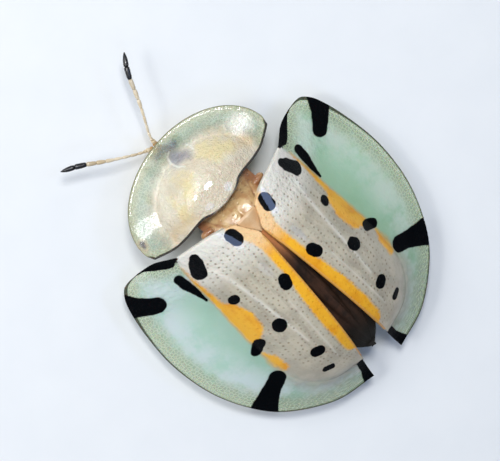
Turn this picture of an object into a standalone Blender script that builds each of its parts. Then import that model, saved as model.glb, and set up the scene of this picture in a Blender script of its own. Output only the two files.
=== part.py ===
"""A sweet potato leaf beetle, a spotted tortoise beetle, standing on the floor with its wing cases ajar.

Life size, in metres, +Z up. The head looks along -Y and the beetle's left is +X. The origin is on the
floor, under the tip of the scutellum, which is also the middle of the animal's length and width.
"""

import math

import bmesh
import bpy
import numpy as np
from mathutils import Matrix, Vector

MM = 0.001

# The thinnest solid wall.
WALL = 0.5

# Wing cases, closed, in millimetres from the scutellum's tip: across and rearwards.
SUTURE_HALF_GAP = 0.14
OPENING_DEG = 4.9
# Each station: its place from base to apex, then across and rearwards of the inner edge, of the edge of
# the domed disc and of the rim of the clear margin.
ELYTRON_STATIONS = (
    (0.00, (0.72, -0.92), (3.62, -1.28), (5.33, -1.88)),
    (0.05, (0.42, -0.45), (3.68, -0.75), (6.14, -1.60)),
    (0.10, (SUTURE_HALF_GAP, 0.00), (3.72, -0.15), (6.60, -0.92)),
    (0.25, (SUTURE_HALF_GAP, 1.45), (3.66, 1.45), (6.90, 0.95)),
    (0.40, (SUTURE_HALF_GAP, 3.00), (3.60, 3.15), (6.88, 2.95)),
    (0.55, (SUTURE_HALF_GAP, 4.50), (3.52, 4.80), (6.35, 5.15)),
    (0.70, (SUTURE_HALF_GAP, 5.95), (3.28, 6.35), (5.25, 7.15)),
    (0.80, (SUTURE_HALF_GAP, 6.80), (2.80, 7.35), (4.05, 8.35)),
    (0.90, (SUTURE_HALF_GAP, 7.55), (1.75, 8.20), (2.15, 9.40)),
    (1.00, (SUTURE_HALF_GAP, 8.10), (SUTURE_HALF_GAP, 8.50), (SUTURE_HALF_GAP, 9.72)),
)
# Heights above the floor at the same stations: inner edge, disc edge, rim.
ELYTRON_HEIGHTS = (
    (0.00, 4.90, 3.25, 1.95),
    (0.05, 4.97, 3.10, 1.75),
    (0.10, 5.05, 3.00, 1.62),
    (0.25, 5.25, 2.92, 1.50),
    (0.40, 5.22, 2.90, 1.50),
    (0.55, 4.98, 2.82, 1.50),
    (0.70, 4.52, 2.68, 1.50),
    (0.80, 4.08, 2.56, 1.50),
    (0.90, 3.55, 2.48, 1.55),
    (1.00, 3.05, 2.45, 1.60),
)
# How far the base of the disc, and that of the margin, bulge forwards, and where along the case this ends.
ELYTRON_COLLAR = 0.24
ELYTRON_SHOULDER = 0.05
ELYTRON_COLLAR_SHARE = 0.12
DISC_HALF_WIDTH = 3.6
DISC_FULLNESS = 2.6
MARGIN_FLARE = 1.35
DISC_CELLS = 9
MARGIN_CELLS = 6
LENGTH_CELLS = 26

# How far the shield, the prothorax and the head turn to the beetle's left, and about which point.
FRONT_YAW_DEG = 3.0
FRONT_PIVOT = (0.0, -1.9)

# Pronotum, in its own level frame: across and forwards of the middle between its rear corners.
PRONOTUM_PLACE = (0.12, -2.44, 3.05)
PRONOTUM_PITCH_DEG = 13.0
PRONOTUM_HALF_WIDTH = 4.16
PRONOTUM_FRONT_DEPTH = 2.93
PRONOTUM_WIDEST_AT = 0.48
PRONOTUM_REAR_EDGE = (
    (4.03, 0.06),
    (3.15, -0.33),
    (2.43, -0.45),
    (1.35, -0.47),
    (0.85, -0.60),
    (0.0, -0.66),
)
PRONOTUM_DISC = (2.75, 2.1, 2.6)
PRONOTUM_DISC_CENTRE = 0.2
PRONOTUM_DOME = 1.3
PRONOTUM_RIM_RISE = 0.3
PRONOTUM_RINGS = 7
PRONOTUM_FRONT_STEPS = 16
PRONOTUM_REAR_STEPS = 10

# Trunk: stations along Y with half-width, underside and top heights.
PROTHORAX_STATIONS = (
    (-4.15, 0.75, 1.30, 1.95),
    (-3.85, 1.10, 1.14, 2.45),
    (-3.30, 1.45, 1.12, 3.05),
    (-2.80, 1.55, 1.18, 3.35),
    (-2.45, 1.40, 1.32, 3.40),
)
PTEROTHORAX_STATIONS = (
    (-2.05, 1.20, 1.50, 2.80),
    (-1.60, 1.60, 1.32, 3.05),
    (-0.80, 2.10, 1.24, 3.35),
    (0.20, 2.35, 1.22, 3.62),
    (1.40, 2.40, 1.22, 3.70),
    (2.55, 2.40, 1.26, 3.66),
)
ABDOMEN_STATIONS = (
    (2.82, 2.36, 1.26, 3.64),
    (3.95, 2.40, 1.22, 3.50),
    (4.75, 2.30, 1.22, 3.25),
    (5.50, 2.05, 1.28, 2.95),
    (6.20, 1.70, 1.36, 2.60),
    (6.90, 1.20, 1.48, 2.25),
    (7.45, 0.55, 1.62, 1.98),
)
RING_SIDES = 20
GROOVE = 0.07
GROOVE_LENGTH = 0.10

# Mesonotum: the brown plate that shows between pronotum and wing cases, with a hinge knob at each side.
MESONOTUM_PROFILE = ((-2.20, 3.60), (-1.85, 3.68), (-1.55, 3.98), (-1.35, 4.20), (-1.24, 4.22))
MESONOTUM_HALF_WIDTH = 1.75
MESONOTUM_SIDE_DROP = 0.50
HINGE_KNOB = (1.72, -1.45, 3.62)
HINGE_KNOB_RADII = (0.30, 0.24, 0.26)

# Scutellum: the small three-cornered plate between the bases of the wing cases.
SCUTELLUM_HALF_WIDTH = 0.55
SCUTELLUM_FRONT = -0.98
SCUTELLUM_TIP = -0.18
SCUTELLUM_HEIGHTS = (4.30, 4.92)

# Hind wings, folded on the back.
HINDWING_FRONT = -0.65
HINDWING_REAR = 8.35
HINDWING_HALF_GAP = 0.17
HINDWING_DROP = 0.80
VEIN_RISE = 0.10

# Head, under the front of the pronotum.
HEAD_CENTRE = (0.18, -4.84, 1.32)
HEAD_RADII = (0.62, 0.48, 0.66)
EYE_RADII = (0.26, 0.40, 0.46)
EYE_TILT_DEG = 12.0
EYE_GAP = 0.05
# Feelers: their thickness, the share of the length that each segment takes, and the route, six points each.
ANTENNA_RADIUS = 0.25
CLUB_RADIUS = 0.31
ANTENNA_WAIST = 0.21
CLUB_STARTS_AT = 6
ANTENNA_SEGMENTS = (10, 5, 9, 8.5, 8.5, 8, 8.5, 8.5, 8.5, 11, 14.5)
ANTENNA_ROUTES = {
    "left": (
        (0.50, -5.58, 1.40),
        (0.96, -5.82, 1.58),
        (1.70, -6.36, 1.98),
        (2.50, -6.96, 2.18),
        (3.34, -7.61, 2.20),
        (4.15, -8.06, 2.08),
    ),
    "right": (
        (0.18, -5.60, 1.40),
        (0.12, -6.08, 1.60),
        (-0.28, -6.92, 2.00),
        (-0.72, -7.84, 2.18),
        (-1.20, -8.90, 2.20),
        (-1.78, -9.66, 2.08),
    ),
}

# Legs of the left side: hip, knee, ankle and the tip of the foot.
LEG_JOINTS = {
    "fore": ((0.80, -3.10, 0.74), (2.15, -2.62, 1.66), (1.98, -3.00, 0.46), (2.12, -4.05, 0.0)),
    "mid": ((0.90, -0.45, 0.76), (2.98, 0.02, 1.72), (2.76, 1.00, 0.46), (2.98, 2.15, 0.0)),
    "hind": ((0.90, 2.10, 0.76), (2.92, 3.15, 1.72), (2.66, 4.30, 0.46), (2.84, 5.50, 0.0)),
}
# How far the right leg's joints lie forwards of the left one's mirror image.
RIGHT_LEG_LEAD = {"fore": 0.10, "mid": -0.15, "hind": 0.12}
COXA_RADII = (0.42, 0.36, 0.28)
FEMUR_RADIUS = 0.34
TIBIA_RADIUS = 0.25
PAD_HEIGHT = 0.42
PAD_WIDTHS = (0.36, 0.42, 0.56)
CLAW_RADIUS = 0.16
LEG_SIDES = 8

COLOURS = {
    "disc": ((0.74, 0.70, 0.60), 0.25),
    "clear_cuticle": ((0.72, 0.76, 0.58), 0.20),
    "brown_cuticle": ((0.50, 0.27, 0.10), 0.30),
    "dark_cuticle": ((0.07, 0.045, 0.03), 0.35),
    "pale_cuticle": ((0.78, 0.60, 0.28), 0.35),
    "smoky_membrane": ((0.16, 0.08, 0.04), 0.30),
    "eye": ((0.03, 0.02, 0.03), 0.15),
}


def clear_scene():
    """Removes every object that the scene starts with."""
    for obj in list(bpy.data.objects):
        bpy.data.objects.remove(obj)


def material(name):
    """The Principled material of that finish, made once."""
    found = bpy.data.materials.get(name)
    if found:
        return found
    colour, roughness = COLOURS[name]
    made = bpy.data.materials.new(name)
    made.use_nodes = True
    shader = made.node_tree.nodes["Principled BSDF"]
    shader.inputs["Base Color"].default_value = (*colour, 1.0)
    shader.inputs["Roughness"].default_value = roughness
    shader.inputs["Metallic"].default_value = 0.0
    return made


def through(stops, t):
    """The value at t on a smooth curve through stops, each a place and then one or more numbers."""
    places = [stop[0] for stop in stops]
    values = np.array([stop[1:] for stop in stops], float)
    t = min(max(t, places[0]), places[-1])
    k = min(max(np.searchsorted(places, t) - 1, 0), len(places) - 2)
    span = places[k + 1] - places[k]
    s = (t - places[k]) / span
    before, after = max(k - 1, 0), min(k + 2, len(places) - 1)
    slope_in = (values[k + 1] - values[before]) / (places[k + 1] - places[before]) * span
    slope_out = (values[after] - values[k]) / (places[after] - places[k]) * span
    return (
        (2 * s**3 - 3 * s**2 + 1) * values[k]
        + (s**3 - 2 * s**2 + s) * slope_in
        + (3 * s**2 - 2 * s**3) * values[k + 1]
        + (s**3 - s**2) * slope_out
    )


def along(points, t):
    """The point at t, from 0 to 1, on a smooth curve through points."""
    last = len(points) - 1
    return Vector(through([(k / last, *p) for k, p in enumerate(points)], t))


def new_object(name, bm, finish, smooth_deg=40.0):
    """An object of that name from a bmesh in millimetres, with its finish."""
    bmesh.ops.scale(bm, vec=(MM, MM, MM), verts=bm.verts)
    mesh = bpy.data.meshes.new(name)
    bm.to_mesh(mesh)
    bm.free()
    mesh.shade_smooth()
    mesh.set_sharp_from_angle(angle=math.radians(smooth_deg))
    mesh.materials.append(material(finish))
    obj = bpy.data.objects.new(name, mesh)
    bpy.context.scene.collection.objects.link(obj)
    return obj


def sheet(name, columns, rows, place, finish, mirrored=False, wall=WALL):
    """A curved wall: a grid whose point at u, v is place(u, v), in triangles, thickened downwards."""
    bm = bmesh.new()
    bmesh.ops.create_grid(bm, x_segments=columns, y_segments=rows, size=0.5)
    for vert in bm.verts:
        x, y, z = place(vert.co.x + 0.5, vert.co.y + 0.5)
        vert.co = (-x if mirrored else x, y, z)
    bmesh.ops.triangulate(bm, faces=bm.faces)
    if mirrored:
        bmesh.ops.reverse_faces(bm, faces=bm.faces)
    return thickened(new_object(name, bm, finish), wall)


def thickened(obj, wall):
    """Gives an open surface its wall, below it."""
    solidify = obj.modifiers.new("wall", "SOLIDIFY")
    solidify.thickness = wall * MM
    solidify.offset = -1.0
    solidify.use_even_offset = True
    return obj


def loft(rings):
    """A bmesh closed round a list of rings of points, from the first to the last, with flat ends."""
    bm = bmesh.new()
    loops = [[bm.verts.new(p) for p in ring] for ring in rings]
    for one, two in zip(loops, loops[1:]):
        for k in range(len(one)):
            after = (k + 1) % len(one)
            bm.faces.new((one[k], one[after], two[after], two[k]))
    bm.faces.new(list(reversed(loops[0])))
    bm.faces.new(loops[-1])
    bmesh.ops.recalc_face_normals(bm, faces=bm.faces)
    return bm


def tube(points, radii, sides=LEG_SIDES, flat=1.0):
    """A bmesh round a route: points with a radius at each, and flat times as thick across as along up."""
    rings = []
    points = [Vector(p) for p in points]
    for k, point in enumerate(points):
        ahead = points[min(k + 1, len(points) - 1)] - points[max(k - 1, 0)]
        side = ahead.cross(Vector((0, 0, 1)))
        side = side.normalized() if side.length > 1e-6 else Vector((1, 0, 0))
        up = side.cross(ahead).normalized()
        rings.append(
            [
                point
                + side * (radii[k] * math.cos(2 * math.pi * n / sides))
                + up * (radii[k] * flat * math.sin(2 * math.pi * n / sides))
                for n in range(sides)
            ]
        )
    return loft(rings)


def ball(centre, radii, turn_deg=0.0, level=2):
    """A bmesh ellipsoid, turned about Z."""
    bm = bmesh.new()
    bmesh.ops.create_icosphere(bm, subdivisions=level, radius=1.0)
    place = Matrix.Translation(centre) @ Matrix.Rotation(math.radians(turn_deg), 4, "Z")
    bmesh.ops.transform(bm, matrix=place @ Matrix.Diagonal((*radii, 1.0)), verts=bm.verts)
    return bm


def joined(name, pieces, finish, floor_cut=False, solver="EXACT"):
    """One closed body: the union of the pieces, cut level with the floor where asked."""
    group = bpy.data.collections.new(name + "_pieces")
    bpy.context.scene.collection.children.link(group)
    body = new_object(name, pieces[0], finish)
    for k, bm in enumerate(pieces[1:]):
        extra = new_object(f"{name}_piece_{k}", bm, finish)
        bpy.context.scene.collection.objects.unlink(extra)
        group.objects.link(extra)
    union = body.modifiers.new("union", "BOOLEAN")
    union.operation = "UNION"
    union.solver = solver
    union.operand_type = "COLLECTION"
    union.collection = group
    if floor_cut:
        bm = bmesh.new()
        bmesh.ops.create_cube(bm, size=20.0)
        bmesh.ops.translate(bm, vec=(0, 0, -10.0), verts=bm.verts)
        block = new_object(name + "_floor", bm, finish)
        cut = body.modifiers.new("floor", "BOOLEAN")
        cut.operation = "DIFFERENCE"
        cut.solver = solver
        cut.object = block
    graph = bpy.context.evaluated_depsgraph_get()
    made = bpy.data.meshes.new_from_object(body.evaluated_get(graph))
    body.modifiers.clear()
    body.data = made
    keep_largest(made)
    for extra in list(group.objects):
        bpy.data.objects.remove(extra)
    bpy.data.collections.remove(group)
    if floor_cut:
        bpy.data.objects.remove(block)
    return body


def keep_largest(mesh):
    """Drops every closed surface of the mesh but the largest."""
    bm = bmesh.new()
    bm.from_mesh(mesh)
    left = set(bm.faces)
    groups = []
    while left:
        group, queue = set(), [left.pop()]
        while queue:
            face = queue.pop()
            group.add(face)
            for edge in face.edges:
                for other in edge.link_faces:
                    if other in left:
                        left.remove(other)
                        queue.append(other)
        groups.append(group)
    largest = max(groups, key=lambda g: sum(f.calc_area() for f in g))
    loose = [face for group in groups if group is not largest for face in group]
    if loose:
        bmesh.ops.delete(bm, geom=loose, context="FACES")
    bm.to_mesh(mesh)
    bm.free()


def opened(x, y):
    """Where a point of the closed left wing case lies once the case has swung out from the scutellum."""
    turn = math.radians(OPENING_DEG)
    return x * math.cos(turn) + y * math.sin(turn), y * math.cos(turn) - x * math.sin(turn)


def elytron_point(u, v):
    """The outer surface of the left wing case: u from the suture to the rim, v from the base to the apex."""
    inner, disc, rim = (Vector(through([(s[0], *s[k]) for s in ELYTRON_STATIONS], v)) for k in (1, 2, 3))
    z_inner, z_disc, z_rim = through(ELYTRON_HEIGHTS, v)
    disc_share = DISC_CELLS / (DISC_CELLS + MARGIN_CELLS)
    if u <= disc_share:
        t = u / disc_share
        x, y = inner.lerp(disc, t)
        z = z_disc + (z_inner - z_disc) * (1 - t**DISC_FULLNESS)
        bulge = ELYTRON_COLLAR * math.sin(math.pi * t**0.75)
    else:
        t = (u - disc_share) / (1 - disc_share)
        x, y = disc.lerp(rim, t)
        z = z_rim + (z_disc - z_rim) * (1 - t) ** MARGIN_FLARE
        bulge = ELYTRON_SHOULDER * math.sin(math.pi * t)
    x, y = opened(x, y - bulge * max(1 - v / ELYTRON_COLLAR_SHARE, 0.0) ** 2)
    return x, y, z


def ridge(y):
    """Height of the closed wing cases along their suture."""
    return float(through([(s[1][1], h[1]) for s, h in zip(ELYTRON_STATIONS[2:], ELYTRON_HEIGHTS[2:])], y)[0])


def make_elytra():
    """Both wing cases, ajar."""
    for side, mirrored in (("left", False), ("right", True)):
        cells = DISC_CELLS + MARGIN_CELLS
        sheet(f"elytron_{side}", cells, LENGTH_CELLS, elytron_point, "disc", mirrored)


def hindwing_point(u, v):
    """The outer surface of the left folded hind wing, with its main veins raised."""
    y = HINDWING_FRONT + (HINDWING_REAR - HINDWING_FRONT) * v
    widths = ((0.0, 0.9), (0.15, 2.0), (0.4, 2.45), (0.65, 2.2), (0.82, 1.3), (0.93, 0.72), (1.0, 0.34))
    half_width = float(through(widths, v)[0])
    x = HINDWING_HALF_GAP + half_width * u
    z = ridge(y) - HINDWING_DROP - 1.9 * (x / DISC_HALF_WIDTH) ** 2 * (1 - 0.55 * v)
    if y > 6.0:
        z += 0.16 * (y - 6.0)
    vein = max(0.0, -math.cos(2 * math.pi * u * 3.0)) ** 3 * min(1.0, 5 * v, 6 * (1 - v))
    return x, y, z + VEIN_RISE * vein


def make_hindwings():
    """Both hind wings, folded side by side on the back."""
    for side, mirrored in (("left", False), ("right", True)):
        sheet(f"hindwing_{side}", 12, 14, hindwing_point, "smoky_membrane", mirrored)


def pronotum_outline():
    """The pronotum's rim as (across, forwards), round from the left corner by the front, then by the rear."""
    front = [
        (
            PRONOTUM_HALF_WIDTH * math.cos(math.pi * k / PRONOTUM_FRONT_STEPS),
            PRONOTUM_WIDEST_AT + PRONOTUM_FRONT_DEPTH * math.sin(math.pi * k / PRONOTUM_FRONT_STEPS),
        )
        for k in range(PRONOTUM_FRONT_STEPS + 1)
    ]
    edge = [(*p, 0.0) for p in PRONOTUM_REAR_EDGE]
    left_half = [along(edge, k / PRONOTUM_REAR_STEPS) for k in range(PRONOTUM_REAR_STEPS)]
    middle = PRONOTUM_REAR_EDGE[-1]
    rear = [(-p.x, p.y) for p in left_half] + [middle] + [(p.x, p.y) for p in reversed(left_half)]
    return front + rear


def pronotum_height(x, y):
    """Height of the pronotum over its own level plane."""
    half_width, front, rear = PRONOTUM_DISC
    reach = front if y > PRONOTUM_DISC_CENTRE else rear
    rho = math.hypot(x / half_width, (y - PRONOTUM_DISC_CENTRE) / reach)
    if rho < 1:
        return PRONOTUM_RIM_RISE + PRONOTUM_DOME * (1 - rho**2.2)
    return PRONOTUM_RIM_RISE * max(0.0, 1 - (rho - 1) / 0.47)


def front_turn():
    """The turn of the shield, the prothorax and the head to the beetle's left."""
    pivot = Matrix.Translation((*FRONT_PIVOT, 0.0))
    return pivot @ Matrix.Rotation(math.radians(FRONT_YAW_DEG), 4, "Z") @ pivot.inverted()


def pronotum_place():
    """Carries the pronotum's own frame, across, backwards and up, to the beetle's."""
    pitch = Matrix.Rotation(math.radians(PRONOTUM_PITCH_DEG), 4, "X")
    return front_turn() @ Matrix.Translation(PRONOTUM_PLACE) @ pitch


def make_pronotum():
    """The shield over head and prothorax."""
    bm = bmesh.new()
    outline = pronotum_outline()
    place = pronotum_place()
    middle = Vector((0.0, 0.9))
    centre = bm.verts.new(place @ Vector((middle.x, -middle.y, pronotum_height(*middle))))
    rings = []
    for ring in range(1, PRONOTUM_RINGS + 1):
        share = ring / PRONOTUM_RINGS
        points = [middle.lerp(Vector(p), share) for p in outline]
        rings.append([bm.verts.new(place @ Vector((p.x, -p.y, pronotum_height(p.x, p.y)))) for p in points])
    count = len(outline)
    for k in range(count):
        after = (k + 1) % count
        bm.faces.new((centre, rings[0][after], rings[0][k]))
        for one, two in zip(rings, rings[1:]):
            bm.faces.new((one[k], one[after], two[after], two[k]))
    bmesh.ops.recalc_face_normals(bm, faces=bm.faces)
    if sum(face.normal.z for face in bm.faces) < 0:
        bmesh.ops.reverse_faces(bm, faces=bm.faces)
    bmesh.ops.triangulate(bm, faces=bm.faces)
    thickened(new_object("pronotum", bm, "clear_cuticle"), WALL)


def trunk(name, stations, finish, grooves=(), turn=Matrix()):
    """A rounded body between stations along Y, pinched at the grooves between its segments, then turned."""
    pinched = {g + d for g in grooves for d in (-GROOVE_LENGTH, 0.0, GROOVE_LENGTH)}
    places = sorted({s[0] for s in stations} | pinched)
    rings = []
    for y in places:
        half_width, low, high = through(stations, y)
        pinch = GROOVE if any(abs(y - g) < 1e-6 for g in grooves) else 0.0
        middle, half_height = (low + high) / 2, (high - low) / 2 - pinch
        half_width -= pinch
        ring = []
        for n in range(RING_SIDES):
            angle = 2 * math.pi * n / RING_SIDES
            c, s = math.cos(angle), math.sin(angle)
            ring.append(
                (
                    half_width * math.copysign(abs(c) ** 0.85, c),
                    y,
                    middle + half_height * math.copysign(abs(s) ** 0.85, s),
                )
            )
        rings.append([turn @ Vector(p) for p in ring])
    return new_object(name, loft(rings), finish)


def make_trunk():
    """Prothorax, winged thorax and abdomen, one behind the other."""
    trunk("prothorax", PROTHORAX_STATIONS, "pale_cuticle", turn=front_turn())
    trunk("pterothorax", PTEROTHORAX_STATIONS, "dark_cuticle", grooves=(-0.95, 1.05))
    trunk("abdomen", ABDOMEN_STATIONS, "dark_cuticle", grooves=(4.0, 4.85, 5.6, 6.3))


def make_mesonotum():
    """The plate between pronotum and wing cases, and the three-cornered scutellum on it."""
    steps = 10
    rings = []
    for y, height in MESONOTUM_PROFILE:
        top = []
        low = []
        for k in range(steps + 1):
            x = MESONOTUM_HALF_WIDTH * (2 * k / steps - 1)
            z = height - MESONOTUM_SIDE_DROP * (x / MESONOTUM_HALF_WIDTH) ** 2
            top.append((x, y, z))
            low.append((x, y, z - WALL))
        rings.append(top + list(reversed(low)))
    knob_x, knob_y, knob_z = HINGE_KNOB
    knobs = [ball((side * knob_x, knob_y, knob_z), HINGE_KNOB_RADII) for side in (-1, 1)]
    joined("mesonotum", [loft(rings), *knobs], "brown_cuticle")


def make_scutellum():
    """The three-cornered plate between the bases of the wing cases."""
    half, front, tip = SCUTELLUM_HALF_WIDTH, SCUTELLUM_FRONT, SCUTELLUM_TIP
    right_half = [(half, front), (half * 0.92, front + 0.1), (0.08, tip)]
    outline = [(-half, front), *right_half, *((-x, y) for x, y in reversed(right_half[1:]))]
    new_object("scutellum", loft([[(x, y, z) for x, y in outline] for z in SCUTELLUM_HEIGHTS]), "disc")


def make_head():
    """The head capsule with its mouthparts, bent down under the pronotum, and the eyes."""
    x, y, z = HEAD_CENTRE
    rx, ry, rz = HEAD_RADII
    turn = front_turn()
    brow = ball((x, y - 0.24, z + 0.16), (0.46, 0.32, 0.36))
    clypeus = ball((x, y - 0.20, z - 0.40), (0.40, 0.30, 0.32))
    labrum = ball((x, y - 0.16, z - 0.66), (0.32, 0.22, 0.16))
    jaws = [
        tube(
            [
                (x + s * 0.24, y - 0.08, z - 0.45),
                (x + s * 0.32, y - 0.2, z - 0.72),
                (x + s * 0.06, y - 0.3, z - 0.9),
            ],
            [0.2, 0.17, 0.08],
            sides=6,
        )
        for s in (-1, 1)
    ]
    pieces = [ball(HEAD_CENTRE, HEAD_RADII, level=3), brow, clypeus, labrum, *jaws]
    for s, side in ((1, "left"), (-1, "right")):
        eye = ball((x + s * (rx + EYE_GAP + EYE_RADII[0]), y, z + 0.1), EYE_RADII, turn_deg=s * EYE_TILT_DEG)
        bmesh.ops.transform(eye, matrix=turn, verts=eye.verts)
        new_object(f"eye_{side}", eye, "eye")
    for bm in pieces:
        bmesh.ops.transform(bm, matrix=turn, verts=bm.verts)
    joined("head", pieces, "pale_cuticle")


def make_antennae():
    """Both feelers: eleven segments with waists between them, the last five thicker."""
    whole = sum(ANTENNA_SEGMENTS)
    for side, route in ANTENNA_ROUTES.items():
        points, radii = [], []
        start = 0.0
        for k, length in enumerate(ANTENNA_SEGMENTS):
            thick = CLUB_RADIUS if k >= CLUB_STARTS_AT else ANTENNA_RADIUS + (0.04 if k == 0 else 0.0)
            for place, radius in ((0.0, ANTENNA_WAIST), (0.3, thick), (0.8, thick)):
                points.append(along(route, (start + place * length) / whole))
                radii.append(radius)
            start += length
        radii[-1] = CLUB_RADIUS * 0.8
        points.append(along(route, 1.0))
        radii.append(0.05)
        new_object(f"antenna_{side}", tube(points, radii), "pale_cuticle")


def foot(ankle, toe):
    """The pads of one foot, two lobes on the third, and its pair of claws, as bmeshes."""
    ahead = Vector((toe.x - ankle.x, toe.y - ankle.y, 0.0))
    length = ahead.length
    ahead.normalize()
    turn = math.degrees(math.atan2(ahead.y, ahead.x))
    side = Vector((-ahead.y, ahead.x, 0.0))
    base = Vector((ankle.x, ankle.y, 0.0))
    parts = []
    for k, width in enumerate(PAD_WIDTHS[:2]):
        centre = base + ahead * (length * (0.06 + 0.27 * k)) + Vector((0, 0, 0.16))
        parts.append(ball(centre, (length * 0.23, width * 0.62, 0.3), turn))
    for s in (-1, 1):
        centre = base + ahead * (length * 0.64) + side * (s * 0.17) + Vector((0, 0, 0.15))
        parts.append(ball(centre, (length * 0.24, PAD_WIDTHS[2] * 0.42, 0.29), turn + s * 10))
    stem_stops = ((0.5, 0.3), (0.72, 0.34), (0.88, 0.33))
    stem = [base + ahead * (length * f) + Vector((0, 0, h)) for f, h in stem_stops]
    parts.append(tube(stem, [0.22, 0.24, 0.2], sides=6))
    for s in (-1, 1):
        claw = [
            base + ahead * (length * f) + side * (s * w) + Vector((0, 0, h))
            for f, w, h in ((0.82, 0.04, 0.34), (0.93, 0.16, 0.26), (1.0, 0.2, 0.06))
        ]
        parts.append(tube(claw, [CLAW_RADIUS, 0.12, 0.04], sides=6))
    return parts


def make_legs():
    """Six legs: coxa, thigh, shin and foot, each leg one body that stands on flats."""
    for pair, joints in LEG_JOINTS.items():
        for side in ("left", "right"):
            hip, knee, ankle, toe = (Vector(p) for p in joints)
            if side == "right":
                lead = Vector((0.0, -RIGHT_LEG_LEAD[pair], 0.0))
                knee, ankle, toe = knee + lead, ankle + lead, toe + lead
                hip, knee, ankle, toe = (Vector((-p.x, p.y, p.z)) for p in (hip, knee, ankle, toe))
            coxa = ball(hip, COXA_RADII)
            thigh_points = [hip.lerp(knee, t) for t in (0.0, 0.2, 0.55, 0.85, 1.0, 1.08)]
            thigh = tube(thigh_points, [0.24, 0.28, FEMUR_RADIUS, 0.29, 0.25, 0.12])
            shin_points = [knee.lerp(ankle, t) for t in (-0.06, 0.0, 0.3, 0.7, 1.0, 1.08)]
            shin = tube(shin_points, [0.12, 0.25, TIBIA_RADIUS, 0.27, 0.3, 0.2])
            pieces = [thigh, coxa, shin, *foot(ankle, toe)]
            joined(f"leg_{pair}_{side}", pieces, "pale_cuticle", floor_cut=True, solver="MANIFOLD")


clear_scene()
make_elytra()
make_hindwings()
make_pronotum()
make_trunk()
make_mesonotum()
make_scutellum()
make_head()
make_antennae()
make_legs()
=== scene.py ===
"""A sweet potato leaf beetle dressed for its portrait: glossy spotted wing cases ajar over dark folded wings,
a clear-rimmed shield, slender feelers, jointed legs, on a pale floor in soft light."""

import logging
import math
from collections.abc import Callable, Iterator, Sequence
from contextlib import contextmanager
from dataclasses import dataclass
from enum import Enum

import bpy
import numpy as np
from mathutils import Matrix, Vector


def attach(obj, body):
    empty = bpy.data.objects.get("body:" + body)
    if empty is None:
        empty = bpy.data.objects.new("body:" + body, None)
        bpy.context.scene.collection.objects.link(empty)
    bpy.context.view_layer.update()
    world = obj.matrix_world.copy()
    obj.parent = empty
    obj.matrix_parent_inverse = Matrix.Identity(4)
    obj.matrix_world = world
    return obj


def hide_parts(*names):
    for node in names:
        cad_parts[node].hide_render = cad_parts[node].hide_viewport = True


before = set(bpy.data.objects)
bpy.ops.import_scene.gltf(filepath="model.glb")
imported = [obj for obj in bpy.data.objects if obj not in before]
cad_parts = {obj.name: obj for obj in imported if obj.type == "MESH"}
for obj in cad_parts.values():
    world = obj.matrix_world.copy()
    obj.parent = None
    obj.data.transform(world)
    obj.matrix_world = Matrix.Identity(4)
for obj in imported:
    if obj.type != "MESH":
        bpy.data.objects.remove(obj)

LOG = logging.getLogger("beetle")
MM = 0.001
PLAN_SPAN = 12.0  # How many millimetres of a pattern's plan the UV map's 0 to 1 stands for
FAR = 99.0  # Millimetres, for what lies near nothing
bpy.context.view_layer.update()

Piece = bpy.types.Object
Material = bpy.types.Material
Socket = bpy.types.NodeSocket
Point = tuple[float, float, float]
Tone = tuple[float, float, float]
Input = Socket | float | Tone
Profile = Sequence[tuple[float, float]]
Chain = Sequence[Point]
Sections = Sequence[tuple[float, float, float, float]]


class Side(Enum):
    """The beetle's two sides, each with the sign of its X."""

    LEFT = 1
    RIGHT = -1

    @property
    def word(self) -> str:
        """The side's name as the frame's nodes spell it."""
        return self.name.lower()


class Slot(Enum):
    """The record's material slots."""

    ELYTRA = "elytra_cuticle"
    PRONOTUM = "pronotum_cuticle"
    BROWN = "brown_cuticle"
    WING = "wing_membrane"
    PALE = "pale_cuticle"
    DARK = "dark_cuticle"
    EYE = "eye_facets"
    ANTENNA = "antenna_cuticle"


class Feature(Enum):
    """What the distance in a field of cells goes to: each cell's middle, or its wall."""

    MIDDLE = "F1"
    WALL = "DISTANCE_TO_EDGE"


# Smooth curves through named stops


def through(stops: Sequence[Sequence[float]], places: np.ndarray) -> np.ndarray:
    """Reads a smooth curve through stops at many places.

    Args:
        stops: Rows that each hold a place and then one or more values.
        places: Where the curve is read.

    Returns:
        One row of values for each place.
    """
    table = np.array(stops, float)
    knots, values = table[:, 0], table[:, 1:]
    places = np.clip(np.asarray(places, float), knots[0], knots[-1])
    k = np.clip(np.searchsorted(knots, places) - 1, 0, len(knots) - 2)
    before, after = np.maximum(k - 1, 0), np.minimum(k + 2, len(knots) - 1)
    span = (knots[k + 1] - knots[k])[:, None]
    s = (places - knots[k])[:, None] / span
    slope_in = (values[k + 1] - values[before]) / (knots[k + 1] - knots[before])[:, None] * span
    slope_out = (values[after] - values[k]) / (knots[after] - knots[k])[:, None] * span
    return (
        (2 * s**3 - 3 * s**2 + 1) * values[k]
        + (s**3 - 2 * s**2 + s) * slope_in
        + (3 * s**2 - 2 * s**3) * values[k + 1]
        + (s**3 - s**2) * slope_out
    )


def along(route: Chain, share: float) -> Vector:
    """Reads the point at a share of the way, 0 to 1, on a smooth curve through a route."""
    last = len(route) - 1
    return Vector(through([(k / last, *p) for k, p in enumerate(route)], np.array([share]))[0])


def step(value: np.ndarray, low: float, high: float) -> np.ndarray:
    """Rises smoothly from 0 at low to 1 at high."""
    t = np.clip((value - low) / (high - low), 0.0, 1.0)
    return t * t * (3 - 2 * t)


def hump(value: np.ndarray, middle: float, width: float) -> np.ndarray:
    """A smooth hump, 1 at its middle and fading away on both sides."""
    return np.exp(-(((value - middle) / width) ** 2))


# The modelling bench: each call does what a hand does in Blender


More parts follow.
